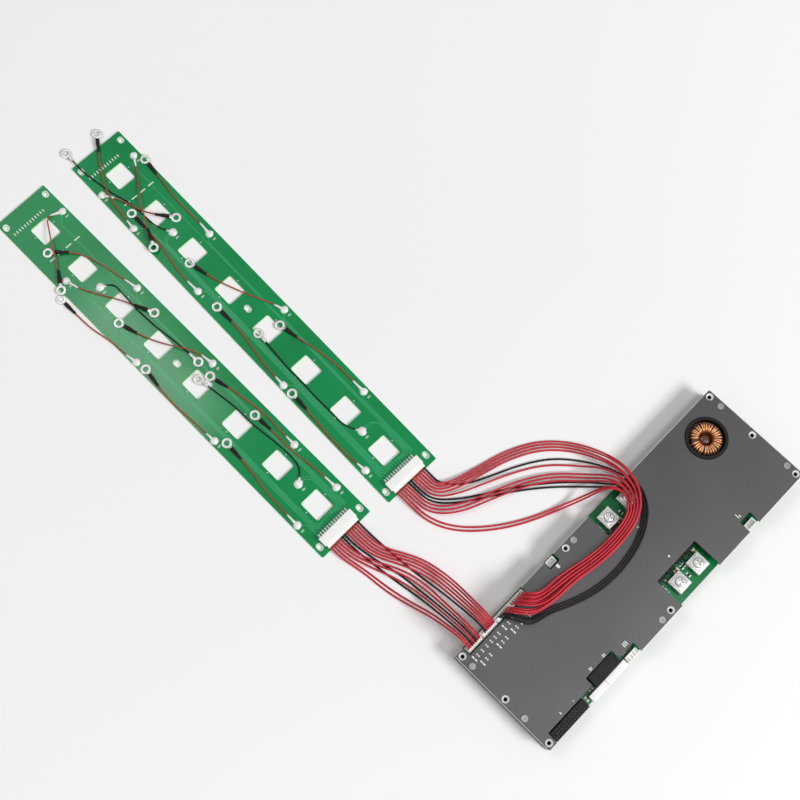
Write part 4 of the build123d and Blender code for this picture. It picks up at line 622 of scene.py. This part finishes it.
class Solids:
    """Closed solids gathered into one mesh, in millimetres."""

    def __init__(self):
        self.points = []
        self.faces = []

    def skin(self, rows, place=None, closed=False):
        """Skin over rows of equal count; its ends are capped, or joined to each other when closed."""
        count = len(rows[0])
        faces = []
        for row in range(len(rows) if closed else len(rows) - 1):
            low, high = row * count, (row + 1) % len(rows) * count
            for index in range(count):
                after = (index + 1) % count
                faces.append((low + index, low + after, high + after, high + index))
        if not closed:
            top = (len(rows) - 1) * count
            faces.append(tuple(range(count - 1, -1, -1)))
            faces.append(tuple(range(top, top + count)))
        start = len(self.points)
        turn = place or Matrix()
        self.points += [turn @ Vector(point) for row in rows for point in row]
        self.faces += [tuple(start + index for index in face) for face in faces]

    def prism(self, outline, low, high, bevel=0.0, place=None):
        """Upright prism over an anticlockwise outline, its top edge bevelled."""
        rows = [lifted(outline, low)]
        if bevel:
            rows += [lifted(outline, high - bevel), lifted(inset(outline, bevel * 0.3), high - bevel * 0.3),
                     lifted(inset(outline, bevel), high)]
        else:
            rows.append(lifted(outline, high))
        self.skin(rows, place)

    def collar(self, outer, inner, low, high, place=None):
        """Flat ring between two outlines of the same count."""
        rows = [lifted(outer, low), lifted(outer, high), lifted(inner, high), lifted(inner, low)]
        self.skin(rows, place, closed=True)

    def lathe(self, profile, count, place=None, closed=False):
        """Turned solid from (radius, height) pairs that run up the outside."""
        self.skin([lifted(circle(radius, count), height) for radius, height in profile], place, closed)

    def hoop(self, path, radius, across):
        """Closed round bar along a path that lies in the plane square to the across direction."""
        rows = []
        side = Vector(across).normalized()
        for index, point in enumerate(path):
            along = (Vector(path[(index + 1) % len(path)]) - Vector(path[index - 1])).normalized()
            other = along.cross(side)
            rows.append([Vector(point) + (side * math.cos(turn) + other * math.sin(turn)) * radius
                         for turn in turns_round(10)])
        self.skin(rows, closed=True)

    def strip(self, path, width, low, high, place=None):
        """Flat strip along a path in plan, mitred at its corners."""
        rows = []
        for index, point in enumerate(path):
            here = Vector(point)
            before = (here - Vector(path[index - 1])).normalized() if index else None
            after = (Vector(path[index + 1]) - here).normalized() if index < len(path) - 1 else None
            left = mitre(before or after, after or before) * (width / 2)
            rows.append([(*(here - left), low), (*(here + left), low), (*(here + left), high),
                         (*(here - left), high)])
        self.skin(rows, place)

    def dash(self, x, y_low, y_high, width, levels, place=None):
        self.strip([(x, y_low), (x, y_high)], width, *levels, place)

    def piece(self, name, material, slot, replaced=(), sharp=SHARP_ANGLE):
        mesh = bpy.data.meshes.new(name)
        mesh.from_pydata([tuple(point * MM) for point in self.points], [], self.faces)
        work = bmesh.new()
        work.from_mesh(mesh)
        bmesh.ops.recalc_face_normals(work, faces=work.faces)
        work.to_mesh(mesh)
        work.free()
        return show(name, mesh, material, replaced, sharp)


def show(name, mesh, material, replaced=(), sharp=SHARP_ANGLE):
    """Put a mesh in the scene as a piece that rides on the object."""
    mesh.validate()
    mesh.shade_smooth()
    mesh.set_sharp_from_angle(angle=math.radians(sharp))
    mesh.materials.clear()
    mesh.materials.append(MATERIALS[material])
    made = bpy.data.objects.new(name, mesh)
    bpy.context.collection.objects.link(made)
    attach(made, "root")
    if replaced:
        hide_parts(*replaced)
    return made


def lifted(outline, height):
    return [(x, y, height) for x, y in outline]


def shifted(outline, x, y):
    return [(px + x, py + y) for px, py in outline]


def circle(radius, count, centre=(0.0, 0.0)):
    return [(centre[0] + radius * math.cos(turn), centre[1] + radius * math.sin(turn))
            for turn in turns_round(count)]


def mitre(first, second):
    """Way to the left at a corner between two directions, as long as keeps the width."""
    return Vector((-first.y - second.y, first.x + second.x)) / (1 + first.dot(second))


def inset(outline, distance):
    """Anticlockwise outline moved inwards, with mitred corners."""
    moved = []
    total = len(outline)
    for index, point in enumerate(outline):
        here = Vector(point)
        first = (here - Vector(outline[index - 1])).normalized()
        second = (Vector(outline[(index + 1) % total]) - here).normalized()
        moved.append(tuple(here + mitre(first, second) * distance))
    return moved


def rectangle(x_limits, y_limits, corner=0.0, steps=4):
    """Anticlockwise rectangle with round corners."""
    (x_low, x_high), (y_low, y_high) = x_limits, y_limits
    if not corner:
        return [(x_low, y_low), (x_high, y_low), (x_high, y_high), (x_low, y_high)]
    outline = []
    centres = [(x_high - corner, y_low + corner, -90), (x_high - corner, y_high - corner, 0),
               (x_low + corner, y_high - corner, 90), (x_low + corner, y_low + corner, 180)]
    for x, y, first in centres:
        for step in range(steps + 1):
            turn = math.radians(first + 90 * step / steps)
            outline.append((x + corner * math.cos(turn), y + corner * math.sin(turn)))
    return outline


def square(half, *rounding):
    return rectangle((-half, half), (-half, half), *rounding)


def oval(width, length, margin):
    """Slot outline with its long side along y."""
    half_x, half_y = width / 2 + margin, length / 2 + margin
    return rectangle((-half_x, half_x), (-half_y, half_y), half_x, 6)


def welded(name):
    """Working copy of a CAD node with its doubled points joined and its flat faces whole."""
    work = bmesh.new()
    work.from_mesh(nodes[name].data)
    bmesh.ops.remove_doubles(work, verts=work.verts, dist=WELD_DISTANCE)
    bmesh.ops.dissolve_limit(work, angle_limit=math.radians(FLAT_ANGLE), verts=work.verts, edges=work.edges)
    return work


def show_copy(work, node, ending):
    """Show a node's working copy in its place."""
    mesh = bpy.data.meshes.new(node + ending)
    work.to_mesh(mesh)
    work.free()
    return show(node + ending, mesh, NODE_MATERIALS[node], (node,))


def softened(name, width):
    """Copy of a CAD node with its outer edges rounded."""
    work = welded(name)
    edges = [edge for edge in work.edges if len(edge.link_faces) == 2
             and edge.calc_face_angle_signed() > math.radians(ROUNDED_ANGLE)]
    bmesh.ops.bevel(work, geom=edges, offset=width * MM, segments=2, profile=0.6, affect="EDGES",
                    clamp_overlap=True)
    show_copy(work, name, "_rounded")


def cut(piece, cutter):
    """Take the cutter's solid out of a piece, and drop the cutter."""
    tool = bpy.data.objects.new("cutter", bpy.data.meshes.new("cutter"))
    tool.data.from_pydata([tuple(point * MM) for point in cutter.points], [], cutter.faces)
    bpy.context.collection.objects.link(tool)
    step = piece.modifiers.new("cut", "BOOLEAN")
    step.operation = "DIFFERENCE"
    step.object = tool
    bpy.context.view_layer.update()
    shaped = bpy.data.meshes.new_from_object(piece.evaluated_get(bpy.context.evaluated_depsgraph_get()))
    piece.modifiers.remove(step)
    piece.data = shaped
    shaped.shade_smooth()
    shaped.set_sharp_from_angle(angle=math.radians(SHARP_ANGLE))
    bpy.data.objects.remove(tool)


def wobble(seed, turn):
    """Smooth uneven value between about -1 and 1 round a circle, the same for the same seed."""
    return sum(share * math.sin(count * turn + seed * (count + 1.7)) for count, share in EDGE_WAVES)


def is_sensor(name):
    return name.startswith("black")


def facing(start, toward):
    return math.atan2(toward[1] - start[1], toward[0] - start[0])


def seat(board, spot, level, turn):
    """Place on a tap board, in millimetres, turned in plan."""
    return TAP_PLACES[board] @ Matrix.Translation((*spot, level)) @ Matrix.Rotation(turn, 4, "Z")


def pin_x(number):
    return HEADER_X + (number - (TAP_POSITIONS - 1) / 2) * TAP_PITCH


def trace_routes(lead_table):
    """Printed tracks from the header's pins up both edges to the pads, nested so none cross."""
    pads = sorted((pad[1], pad[0], is_sensor(name)) for name, (ring, points, pad) in lead_table.items())
    sensors = [(x, y) for y, x, sensor in reversed(pads) if sensor]
    routes = []
    for side, inner_pad in zip((-1, 1), sensors):
        targets = [((x, y), False) for y, x, sensor in pads if x * side > 0 and not sensor]
        for order, (pad, inner) in enumerate(targets + [(inner_pad, True)] * 2):
            pin = pin_x(order if side < 0 else TAP_POSITIONS - 1 - order)
            lane = side * (FIRST_LANE - order * LANE_PITCH)
            turn_y = TRACK_TURN + order * LANE_PITCH
            reach = min(TRACK_BEND, abs(lane - pin) * 0.9)
            path = [(pin, TRACK_START), (pin, turn_y), (lane - side * reach, turn_y),
                    (lane, turn_y + reach)]
            if inner:
                end_y = pad[1] + (INNER_GAP if order % 2 else -INNER_GAP)
                path += [(lane, end_y - INNER_BEND), (lane - side * INNER_BEND, end_y), (pad[0], end_y)]
            else:
                path += [(lane, pad[1] - abs(pad[0]) + abs(lane)), pad]
            routes.append(path)
    return routes


def tap_prints(board, lead_table):
    """Tracks, lands, dots and short marks printed on a tap board."""
    place = TAP_PLACES[board]
    tracks, marks, lands = Solids(), Solids(), Solids()
    for path in trace_routes(lead_table):
        tracks.strip(path, TRACK_WIDTH, *TRACK_LEVELS, place)
    tracks.piece(f"tap_tracks_{board}", "track", "board_green")
    for y in WINDOW_Y:
        for x in (-WINDOW_DOT_X, WINDOW_DOT_X):
            dot = circle(WINDOW_DOT_RADIUS, 12, (x, y + WINDOW_DOT_Y))
            marks.prism(dot, *INK_LEVELS, place=place)
    for ring, points, (x, y) in lead_table.values():
        outward, middle = math.copysign(1, x), y - LABEL_DROP
        for step, half in LABEL_STROKES:
            marks.dash(x + outward * step, middle - half, middle + half, LABEL_WIDTH, INK_LEVELS, place)
    for number in range(HEAD_DASHES):
        marks.dash(HEAD_DASH_X + number * HEAD_DASH_PITCH, HEAD_DASH_Y - HEAD_DASH_HALF,
                   HEAD_DASH_Y + HEAD_DASH_HALF, HEAD_DASH_WIDTH, INK_LEVELS, place)
    for x in LONG_DASH_X:
        marks.strip([(x - LONG_DASH_HALF, LONG_DASH_Y), (x + LONG_DASH_HALF, LONG_DASH_Y)], LONG_DASH_WIDTH,
                    *INK_LEVELS, place)
    marks.piece(f"tap_marks_{board}", "silk", "white_plastic")
    slots = [(x, y, CORNER_SLOT) for x in (-CORNER_SLOT_X, CORNER_SLOT_X)
             for y in (-CORNER_SLOT_Y, CORNER_SLOT_Y)]
    for x, y, size in slots + [(0.0, 0.0, MIDDLE_SLOT)]:
        outer, inner = [shifted(oval(*size, margin), x, y) for margin in LAND_MARGINS]
        lands.collar(outer, inner, *LAND_LEVELS, place)
    for x in map(pin_x, range(TAP_POSITIONS)):
        land = rectangle((x - PIN_LAND_HALF, x + PIN_LAND_HALF), (HEADER_BACK + 0.2, FOOT_END + 1.0), 0.3)
        lands.prism(land, *LAND_LEVELS, place=place)
    lands.piece(f"tap_lands_{board}", "tin", "tin_plate")


def tap_board(board):
    """Tap board with its windows opened to the width and length that the photograph shows."""
    made = show_copy(welded(f"tap_board_{board}"), f"tap_board_{board}", "_open")
    half_x, half_y = WINDOW_SIZE[0] / 2, WINDOW_SIZE[1] / 2
    cutter = Solids()
    for y in WINDOW_Y:
        outline = rectangle((-half_x, half_x), (y - half_y, y + half_y), WINDOW_CORNER, 5)
        cutter.prism(outline, -1.0, TAP_TOP + 1.0, place=TAP_PLACES[board])
    cut(made, cutter)


def header_pins(board):
    """Bent pins that leave the back of a tap header and lie on their lands in solder."""
    pins = Solids()
    for x in map(pin_x, range(TAP_POSITIONS)):
        pins.skin([[(x + across, y, level + up) for across, up in PIN_SECTION]
                   for y, level in reversed(PIN_PATH)], TAP_PLACES[board])
        stretch = Matrix.Translation((x, FOOT_END - 0.1, 0)) @ Matrix.Diagonal((1.0, 1.5, 1.0, 1.0))
        pins.lathe(PIN_FILLET, 14, TAP_PLACES[board] @ stretch)
    pins.piece(f"header_pins_{board}", "solder", "tin_plate")


def joint_outline(turn, body, tail, seed):
    """Distance from a joint's centre to its edge: a ragged round with one drawn-out tail."""
    edge = body * (1 + 0.09 * wobble(seed, turn))
    turn = (turn + math.pi) % (2 * math.pi) - math.pi
    if abs(turn) < math.pi / 2 - 0.05:
        along = JOINT_SHOULDER / (math.tan(abs(turn)) + JOINT_SHOULDER / tail)
        edge = max(edge, along / math.cos(turn))
    return edge


def solder_joint(solids, place, body, height, tail, seed):
    """Glossy solder on a pad, thickest over the pad and thin at its edge."""
    turns = [turn - 0.75 * math.sin(turn) for turn in turns_round(JOINT_STEPS)]
    rows = []
    for share, rise in JOINT_SHAPE:
        row = []
        for turn in turns:
            edge = joint_outline(turn, body, tail, seed) * share
            lump = 1 + 0.07 * wobble(seed + 3, turn) * share
            row.append((edge * math.cos(turn), edge * math.sin(turn), TAP_TOP + height * rise * lump))
        rows.append(row)
    solids.skin(rows, place)


def joints(board, lead_table):
    solids = Solids()
    for number, (name, (ring, points, pad)) in enumerate(lead_table.items()):
        place = seat(board, pad, 0.0, facing(pad, points[-1]))
        if is_sensor(name):
            solder_joint(solids, place, *SENSOR_JOINT, SENSOR_STRAND, number + 0.4)
        else:
            tail = LEAD_STRAND + LEAD_STRAND_SPREAD * math.sin(number * 1.7)
            solder_joint(solids, place, *LEAD_JOINT, tail, number + 0.4)
            reach = (Vector(pad) - Vector(points[-1][:2])).length
            slope = math.atan2(points[-1][2] - LEAD_REST, reach)
            along = Matrix.Translation((0, 0, LEAD_REST)) @ Matrix.Rotation(math.pi / 2 - slope, 4, "Y")
            strand = [(0.6, 3.0), (0.98, 3.3), (0.95, 6.0), (0.86, tail - 2.0), (0.76, tail),
                      (0.5, tail + 0.2)]
            solids.lathe(strand, 14, place @ along)
    solids.piece(f"solder_{board}", "solder", "solder", (f"solder_joints_{board}",), SOFT_ANGLE)


def ring_terminal(barrel, place):
    """Stamped eye, neck and crimped barrel, with the barrel's axis along x at level zero."""
    solids = Solids()
    low, high = -RING_DROP, -RING_DROP + RING_THICKNESS
    outer, inner = RING_OUTER / 2, RING_HOLE / 2
    eye = [(outer - 0.12, low), (outer, low + 0.14), (outer, high - 0.2), (outer - 0.07, high - 0.07),
           (outer - 0.22, high), (inner + 0.2, high), (inner + 0.06, high - 0.07), (inner, high - 0.2),
           (inner, low + 0.1), (inner + 0.1, low)]
    solids.lathe(eye, 40, place, closed=True)
    radius = barrel / 2
    neck = [(3.2, 1.9, low + 0.02, high - 0.02), (4.1, 1.7, low + 0.02, high - 0.02),
            (4.8, 1.45, low + 0.25, high + 0.45), (5.4, 1.25, -radius + 0.1, -0.1),
            (5.9, 1.1, -radius, 0.3)]
    rows = []
    for x, half, bottom, top in neck:
        rows.append([(x, -half, bottom), (x, half, bottom), (x, half, top - 0.15), (x, half - 0.2, top),
                     (x, -half + 0.2, top), (x, -half, top - 0.15)])
    solids.skin(rows, place)
    crimp = [(5.4, 0.92, 1.0), (5.55, 1.0, 1.0), (6.6, 1.0, 1.0), (7.1, 1.06, 0.86), (7.8, 1.08, 0.78),
             (8.6, 1.06, 0.86), (9.1, 1.0, 1.0), (10.25, 1.0, 1.0), (BARREL_END, 0.92, 0.92)]
    rows = []
    for x, wide, tall in crimp:
        row = []
        for turn in turns_round(20):
            seam = 1 - 0.12 * max(0.0, 1 - abs(turn - math.pi / 2) / 0.35)
            row.append((x, radius * wide * math.cos(turn), radius * tall * seam * math.sin(turn)))
        rows.append(row)
    solids.skin(rows, place)
    return solids


def sleeve(seed, place):
    """Shrunk sleeve over a barrel, with soft wrinkles, tapering on to its lead."""
    solids = Solids()
    profile = [(1.25, 5.75), (1.6, 5.85), (SLEEVE_RADIUS, SLEEVE_START)]
    for step in range(1, SLEEVE_STEPS):
        x = SLEEVE_START + SLEEVE_LENGTH * step / SLEEVE_STEPS
        taper = min(1.0, max(0.0, (x - SLEEVE_TAPER[0]) / SLEEVE_TAPER[1]))
        taper = taper * taper * (3 - 2 * taper)
        wrinkle = 0.05 * math.sin(x * 2.1 + seed * 2.3) * (0.4 + taper)
        profile.append((SLEEVE_RADIUS - 0.52 * taper + wrinkle, x))
    profile += [(1.16, 18.25), (1.05, 18.38), (0.7, SLEEVE_END)]
    solids.lathe(profile, 18, place @ Matrix.Rotation(math.pi / 2, 4, "Y"))
    return solids


def lead_end(board, name, lead, seed):
    """Ring terminal and sleeve at the head of a lead."""
    ring, points, pad = lead
    place = seat(board, ring, points[0][2], facing(ring, points[0]))
    terminal = ring_terminal(SENSOR_BARREL if is_sensor(name) else BARREL, place)
    parts = [terminal.piece(f"ring_{board}_{name}", "tin", "tin_plate", (f"ring_terminals_{board}",))]
    if not is_sensor(name):
        cover = sleeve(seed, place)
        parts.append(cover.piece(f"sleeve_{board}_{name}", "sleeve", "sleeve_film",
                                 (f"heat_shrinks_{board}",), SOFT_ANGLE))
    return parts


def turn_loop(number):
    """One turn's outline as radius and level, tight inside the core and fanned out outside."""
    inner = TURN_RADII[0] + 0.12 * math.sin(number * 1.9)
    outer = TURN_RADII[1] + 0.1 * math.sin(number * 2.3 + 1)
    low, high = TURN_LEVELS[0], TURN_LEVELS[1] + 0.08 * math.sin(number * 3.1)
    loop = []
    corners = ((outer, low), (outer, high), (inner, high), (inner, low))
    for (radius, level), first, bend in zip(corners, (-90, 0, 90, 180), TURN_BENDS):
        centre_radius = radius - bend if radius == outer else radius + bend
        centre_level = level + bend if level == low else level - bend
        for step in range(9):
            angle = math.radians(first + 90 * step / 8)
            loop.append((centre_radius + bend * math.cos(angle), centre_level + bend * math.sin(angle)))
    return inner, outer, loop


def winding():
    """Enamelled wire wound round the choke's core."""
    solids = Solids()
    for number in range(TURN_COUNT):
        turn = math.radians(TURN_GAP_CENTRE + TURN_GAP / 2 + number * (360 - TURN_GAP) / (TURN_COUNT - 1))
        turn += 0.02 * math.sin(number * 2.7)
        lean = 0.03 * math.sin(number * 1.3)
        inner, outer, loop = turn_loop(number)
        path = []
        for radius, level in loop:
            swing = turn + lean * (radius - inner) / (outer - inner)
            path.append((CHOKE_CENTRE[0] + radius * math.cos(swing),
                         CHOKE_CENTRE[1] + radius * math.sin(swing), level))
        solids.hoop(path, TURN_WIRE, (math.sin(turn), -math.cos(turn), 0))
    solids.piece("winding", "copper", "copper_wire", ("toroid_winding",), sharp=80.0)


def potting():
    """Dark resin round the choke's foot and in its middle."""
    solids = Solids()
    profile = [(14.9, 9.0), (14.9, 12.2), (14.6, 12.0), (13.8, 11.9), (5.8, 12.0), (5.2, 12.6), (4.2, 13.6),
               (3.0, 14.3), (1.6, 14.7), (0.3, 14.8)]
    solids.lathe(profile, 48, Matrix.Translation((*CHOKE_CENTRE, 0)))
    solids.piece("choke_resin", "resin", "ferrite", sharp=SOFT_ANGLE)


def screw_heads():
    """Pan head screws over square and spring washers on the power terminals."""
    heads, cutter, washers = Solids(), Solids(), Solids()
    profile = [(2.2, 0.8), (4.05, 0.8), (4.05, 1.0), (4.25, 1.05), (4.3, 1.35), (4.22, 1.85), (3.95, 2.35),
               (3.4, 2.75), (2.6, 2.95), (1.5, 3.0), (0.4, 3.0)]
    arm, half = RECESS_ARM, RECESS_HALF
    cross = [(arm, -half), (arm, half), (half, half), (half, arm), (-half, arm), (-half, half), (-arm, half),
             (-arm, -half), (-half, -half), (-half, -arm), (half, -arm), (half, -half)]
    small = [(x * 0.55, y * 0.7) for x, y in cross]
    for number, spot in enumerate(TERMINALS):
        centre = Matrix.Translation((*spot, UNIT_BOARD_TOP + TERMINAL_HEIGHT))
        centre = centre @ Matrix.Rotation(0.12 * math.sin(number * 2.2), 4, "Z")
        washers.prism(square(WASHER_HALF, WASHER_CORNER), 0.0, WASHER_TOP, 0.25, centre)
        heads.lathe(profile, 40, centre)
        twist = centre @ Matrix.Rotation(math.radians(20 + 47 * number), 4, "Z")
        cutter.skin(list(map(lifted, (small, cross, cross), RECESS_LEVELS)), twist)
    made = heads.piece("terminal_screw_heads", "screw", "steel", ("terminal_screws",))
    cut(made, cutter)
    washers.piece("terminal_washers", "screw", "steel", ("terminal_screws",))


def cover_prints():
    """Short printed dashes and marks on the cover."""
    solids = Solids()
    for x, y, long in COVER_DASHES:
        half = DASH_HALVES[long]
        solids.dash(x, y - half, y - DASH_GAP, DASH_WIDTH, COVER_INK)
        solids.dash(x, y + DASH_GAP, y + half, DASH_WIDTH, COVER_INK)
    for x, y, width, length in COVER_MARKS:
        solids.dash(x, y - length / 2, y + length / 2, width, COVER_INK)
    solids.piece("cover_marks", "silk", "white_plastic")


def chip(bodies, ends, place, length, width, height):
    """Small surface part with metal end caps."""
    half, cap, side_y = length / 2, length * CHIP_CAP_SHARE, width / 2
    bodies.prism(rectangle((-half + cap, half - cap), (-side_y, side_y)), 0.0, height, CHIP_BEVEL, place)
    for side in (-1, 1):
        for reach, wide, top, bevel in ((half, side_y + 0.04, height + 0.04, CHIP_BEVEL),
                                        (half + 0.5, side_y + 0.2, 0.12, 0.0)):
            outline = rectangle(sorted((side * reach, side * (half - cap))), (-wide, wide))
            ends.prism(outline, 0.0, top, bevel, place)


def board_parts():
    """Small parts on the unit's board where the cover leaves it open."""
    tan, dark, ends = Solids(), Solids(), Solids()
    for x, y, turn, length, width, height, colour in CHIPS:
        place = Matrix.Translation((x, y, UNIT_BOARD_TOP)) @ Matrix.Rotation(math.radians(turn), 4, "Z")
        chip(tan if colour == "tan" else dark, ends, place, length, width, height)
    tan.piece("ceramic_chips", "tan", "white_plastic")
    dark.piece("dark_chips", "black", "black_plastic")
    ends.piece("chip_ends", "solder", "solder")


def block_pins():
    """Bright contacts in the multi-pin block's holes."""
    pins = Solids()
    for column in range(BLOCK_COLUMNS):
        x = BLOCK_CENTRE[0] + (column - (BLOCK_COLUMNS - 1) / 2) * BLOCK_PITCH
        for row in range(BLOCK_ROWS):
            y = BLOCK_CENTRE[1] + (row - (BLOCK_ROWS - 1) / 2) * BLOCK_PITCH
            pins.lathe(BLOCK_PIN, 8, Matrix.Translation((x, y, 0)))
    pins.piece("block_contacts", "screw_grey", "tin_plate")


def relay_face():
    """Moulded rim and three rings on top of the black block."""
    solids = Solids()
    rims = [rectangle((RELAY_X[0] + margin, RELAY_X[1] - margin), (RELAY_Y[0] + margin, RELAY_Y[1] - margin),
                      corner) for margin, corner in RELAY_RIMS]
    solids.collar(*rims, *RELAY_RELIEF)
    for x in RELAY_RING_X:
        rings = [circle(radius, 24, (x, sum(RELAY_Y) / 2)) for radius in RELAY_RING_RADII]
        solids.collar(*rings, *RELAY_RELIEF)
    solids.piece("block_mouldings", "black", "black_plastic")


def plug_slot_shade():
    """Painted shade: black blocks in the top slots of the balance plugs, standing in for their dark insides.
    """
    solids = Solids()
    for x in BALANCE_X:
        for number in range(BALANCE_POSITIONS):
            offset = (number - (BALANCE_POSITIONS - 1) / 2) * BALANCE_PITCH
            place = Matrix.Translation((x + offset, BALANCE_Y, 0))
            solids.prism(rectangle(SLOT_SHADE_X, SLOT_SHADE_Y, 0.2), *SLOT_SHADE_LEVELS, place=place)
    solids.piece("plug_slots_painted_shade", "black", "black_plastic")


def cord_curve(name, points, diameter, material):
    """Smooth round cord; each control point's radius times the bevel of 1 is the cord's own."""
    data = bpy.data.curves.new(name, "CURVE")
    data.dimensions = "3D"
    data.bevel_depth = 1.0
    data.bevel_resolution = 4
    data.use_fill_caps = True
    spline = data.splines.new("NURBS")
    spline.points.add(len(points) - 1)
    for control, point in zip(spline.points, points):
        control.co = (*point, 1.0)
        control.radius = diameter / 2
    spline.order_u = 3
    spline.use_endpoint_u = True
    spline.resolution_u = 8
    data.materials.append(material)
    cord = bpy.data.objects.new(name, data)
    bpy.context.collection.objects.link(cord)
    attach(cord, "root")
    return cord


def centre_length(cord):
    """Length of a cord's own line, from the spline without its bevel."""
    cord.data.bevel_depth = 0.0
    line = bpy.data.meshes.new_from_object(cord)
    cord.data.bevel_depth = 1.0
    points = [vertex.co.copy() for vertex in line.vertices]
    bpy.data.meshes.remove(line)
    return sum((after - before).length for before, after in zip(points, points[1:]))


def harness(board, routes):
    for number, route in routes.items():
        name = f"harness_{board}_{number:02d}"
        material = MATERIALS["black_wire" if number in BLACK_WIRES else "red_wire"]
        points = [mm(*point) for point in route]
        cord = cord_curve(name, points, WIRE_DIAMETER * MM, material)
        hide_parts(f"harness_{board}_wire_{number:02d}")
        centre_length(cord)


def lead_points(ring, points, pad):
    """Whole route of a lead in its board's axes: barrel end, points and joint tail."""
    def step(start, toward, distance):
        way = Vector((toward[0] - start[0], toward[1] - start[1])).normalized() * distance
        return (start[0] + way.x, start[1] + way.y)
    first = (*step(ring, points[0], BARREL_END), points[0][2])
    last = (*step(pad, points[-1], JOINT_TAIL), LEAD_REST)
    return [first] + points + [last]


def leads(board, lead_table):
    place = TAP_PLACES[board]
    for number, (name, lead) in enumerate(lead_table.items()):
        colour = name.split("_")[0]
        points = [(place @ Vector(point)) * MM for point in lead_points(*lead)]
        cord = cord_curve(f"lead_{board}_{name}", points, LEAD_DIAMETER * MM,
                          MATERIALS["black_wire" if colour == "black" else "red_lead"])
        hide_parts(f"leads_{board}_{colour}")
        ends = lead_end(board, name, lead, number)
        if name not in RIGID_LEADS[board]:
            centre_length(cord)


def floor():
    """Pale bench top that keeps the object's shadow, with painted shade: a little greyer round the object,
    white further out.
    """
    mesh = bpy.data.meshes.new("floor")
    mesh.from_pydata(lifted(square(FLOOR_HALF), 0), [], [(0, 1, 2, 3)])
    shader = Shader("bench_white", Roughness=0.7, Specular_IOR_Level=0.1)
    offset = shader.node("ShaderNodeVectorMath", {0: shader.coordinates, 1: FLOOR_SHADE_MIDDLE},
                         operation="SUBTRACT")
    away = shader.node("ShaderNodeVectorMath", {0: offset.outputs["Vector"]}, operation="LENGTH")
    share = shader.ranged(away.outputs["Value"], *FLOOR_SHADE_FADE)
    # Painted shade: the floor is painted a little greyer near the object than further out
    shader.feed("Base Color", shader.mix(share, rgb(248, 248, 248), rgb(255, 255, 255)))
    mesh.materials.append(shader.material)
    plane = bpy.data.objects.new("floor", mesh)
    bpy.context.collection.objects.link(plane)


def world():
    """Even pale surroundings; camera, mirror and clear rays see them white."""
    made = bpy.data.worlds.new("world")
    bpy.context.scene.world = made
    made.use_nodes = True
    tree = made.node_tree
    dim = tree.nodes["Background"]
    white = tree.nodes.new("ShaderNodeBackground")
    for back, strength in ((dim, WORLD_STRENGTH), (white, 1.0)):
        back.inputs["Color"].default_value = (1.0, 1.0, 1.0, 1.0)
        back.inputs["Strength"].default_value = strength
    path = tree.nodes.new("ShaderNodeLightPath")
    seen = path.outputs["Is Camera Ray"]
    for ray in ("Is Glossy Ray", "Is Transmission Ray"):
        either = tree.nodes.new("ShaderNodeMath")
        either.operation = "MAXIMUM"
        tree.links.new(seen, either.inputs[0])
        tree.links.new(path.outputs[ray], either.inputs[1])
        seen = either.outputs[0]
    choice = tree.nodes.new("ShaderNodeMixShader")
    tree.links.new(seen, choice.inputs["Fac"])
    tree.links.new(dim.outputs["Background"], choice.inputs[1])
    tree.links.new(white.outputs["Background"], choice.inputs[2])
    tree.links.new(choice.outputs["Shader"], tree.nodes["World Output"].inputs["Surface"])


bpy.context.scene.view_settings.view_transform = "Standard"
camera()
world()
lights()
floor()
dress_nodes()
harness("a", routes_a())
harness("b", routes_b())
leads("a", LEADS_A)
leads("b", LEADS_B)
for board, lead_table in (("a", LEADS_A), ("b", LEADS_B)):
    joints(board, lead_table)
    tap_prints(board, lead_table)
    header_pins(board)
    tap_board(board)
    softened(f"tap_header_{board}", 0.25)
    softened(f"tap_plug_{board}", 0.12)
for name, width in ROUNDED.items():
    softened(name, width)
winding()
potting()
screw_heads()
cover_prints()
board_parts()
block_pins()
relay_face()
plug_slot_shade()
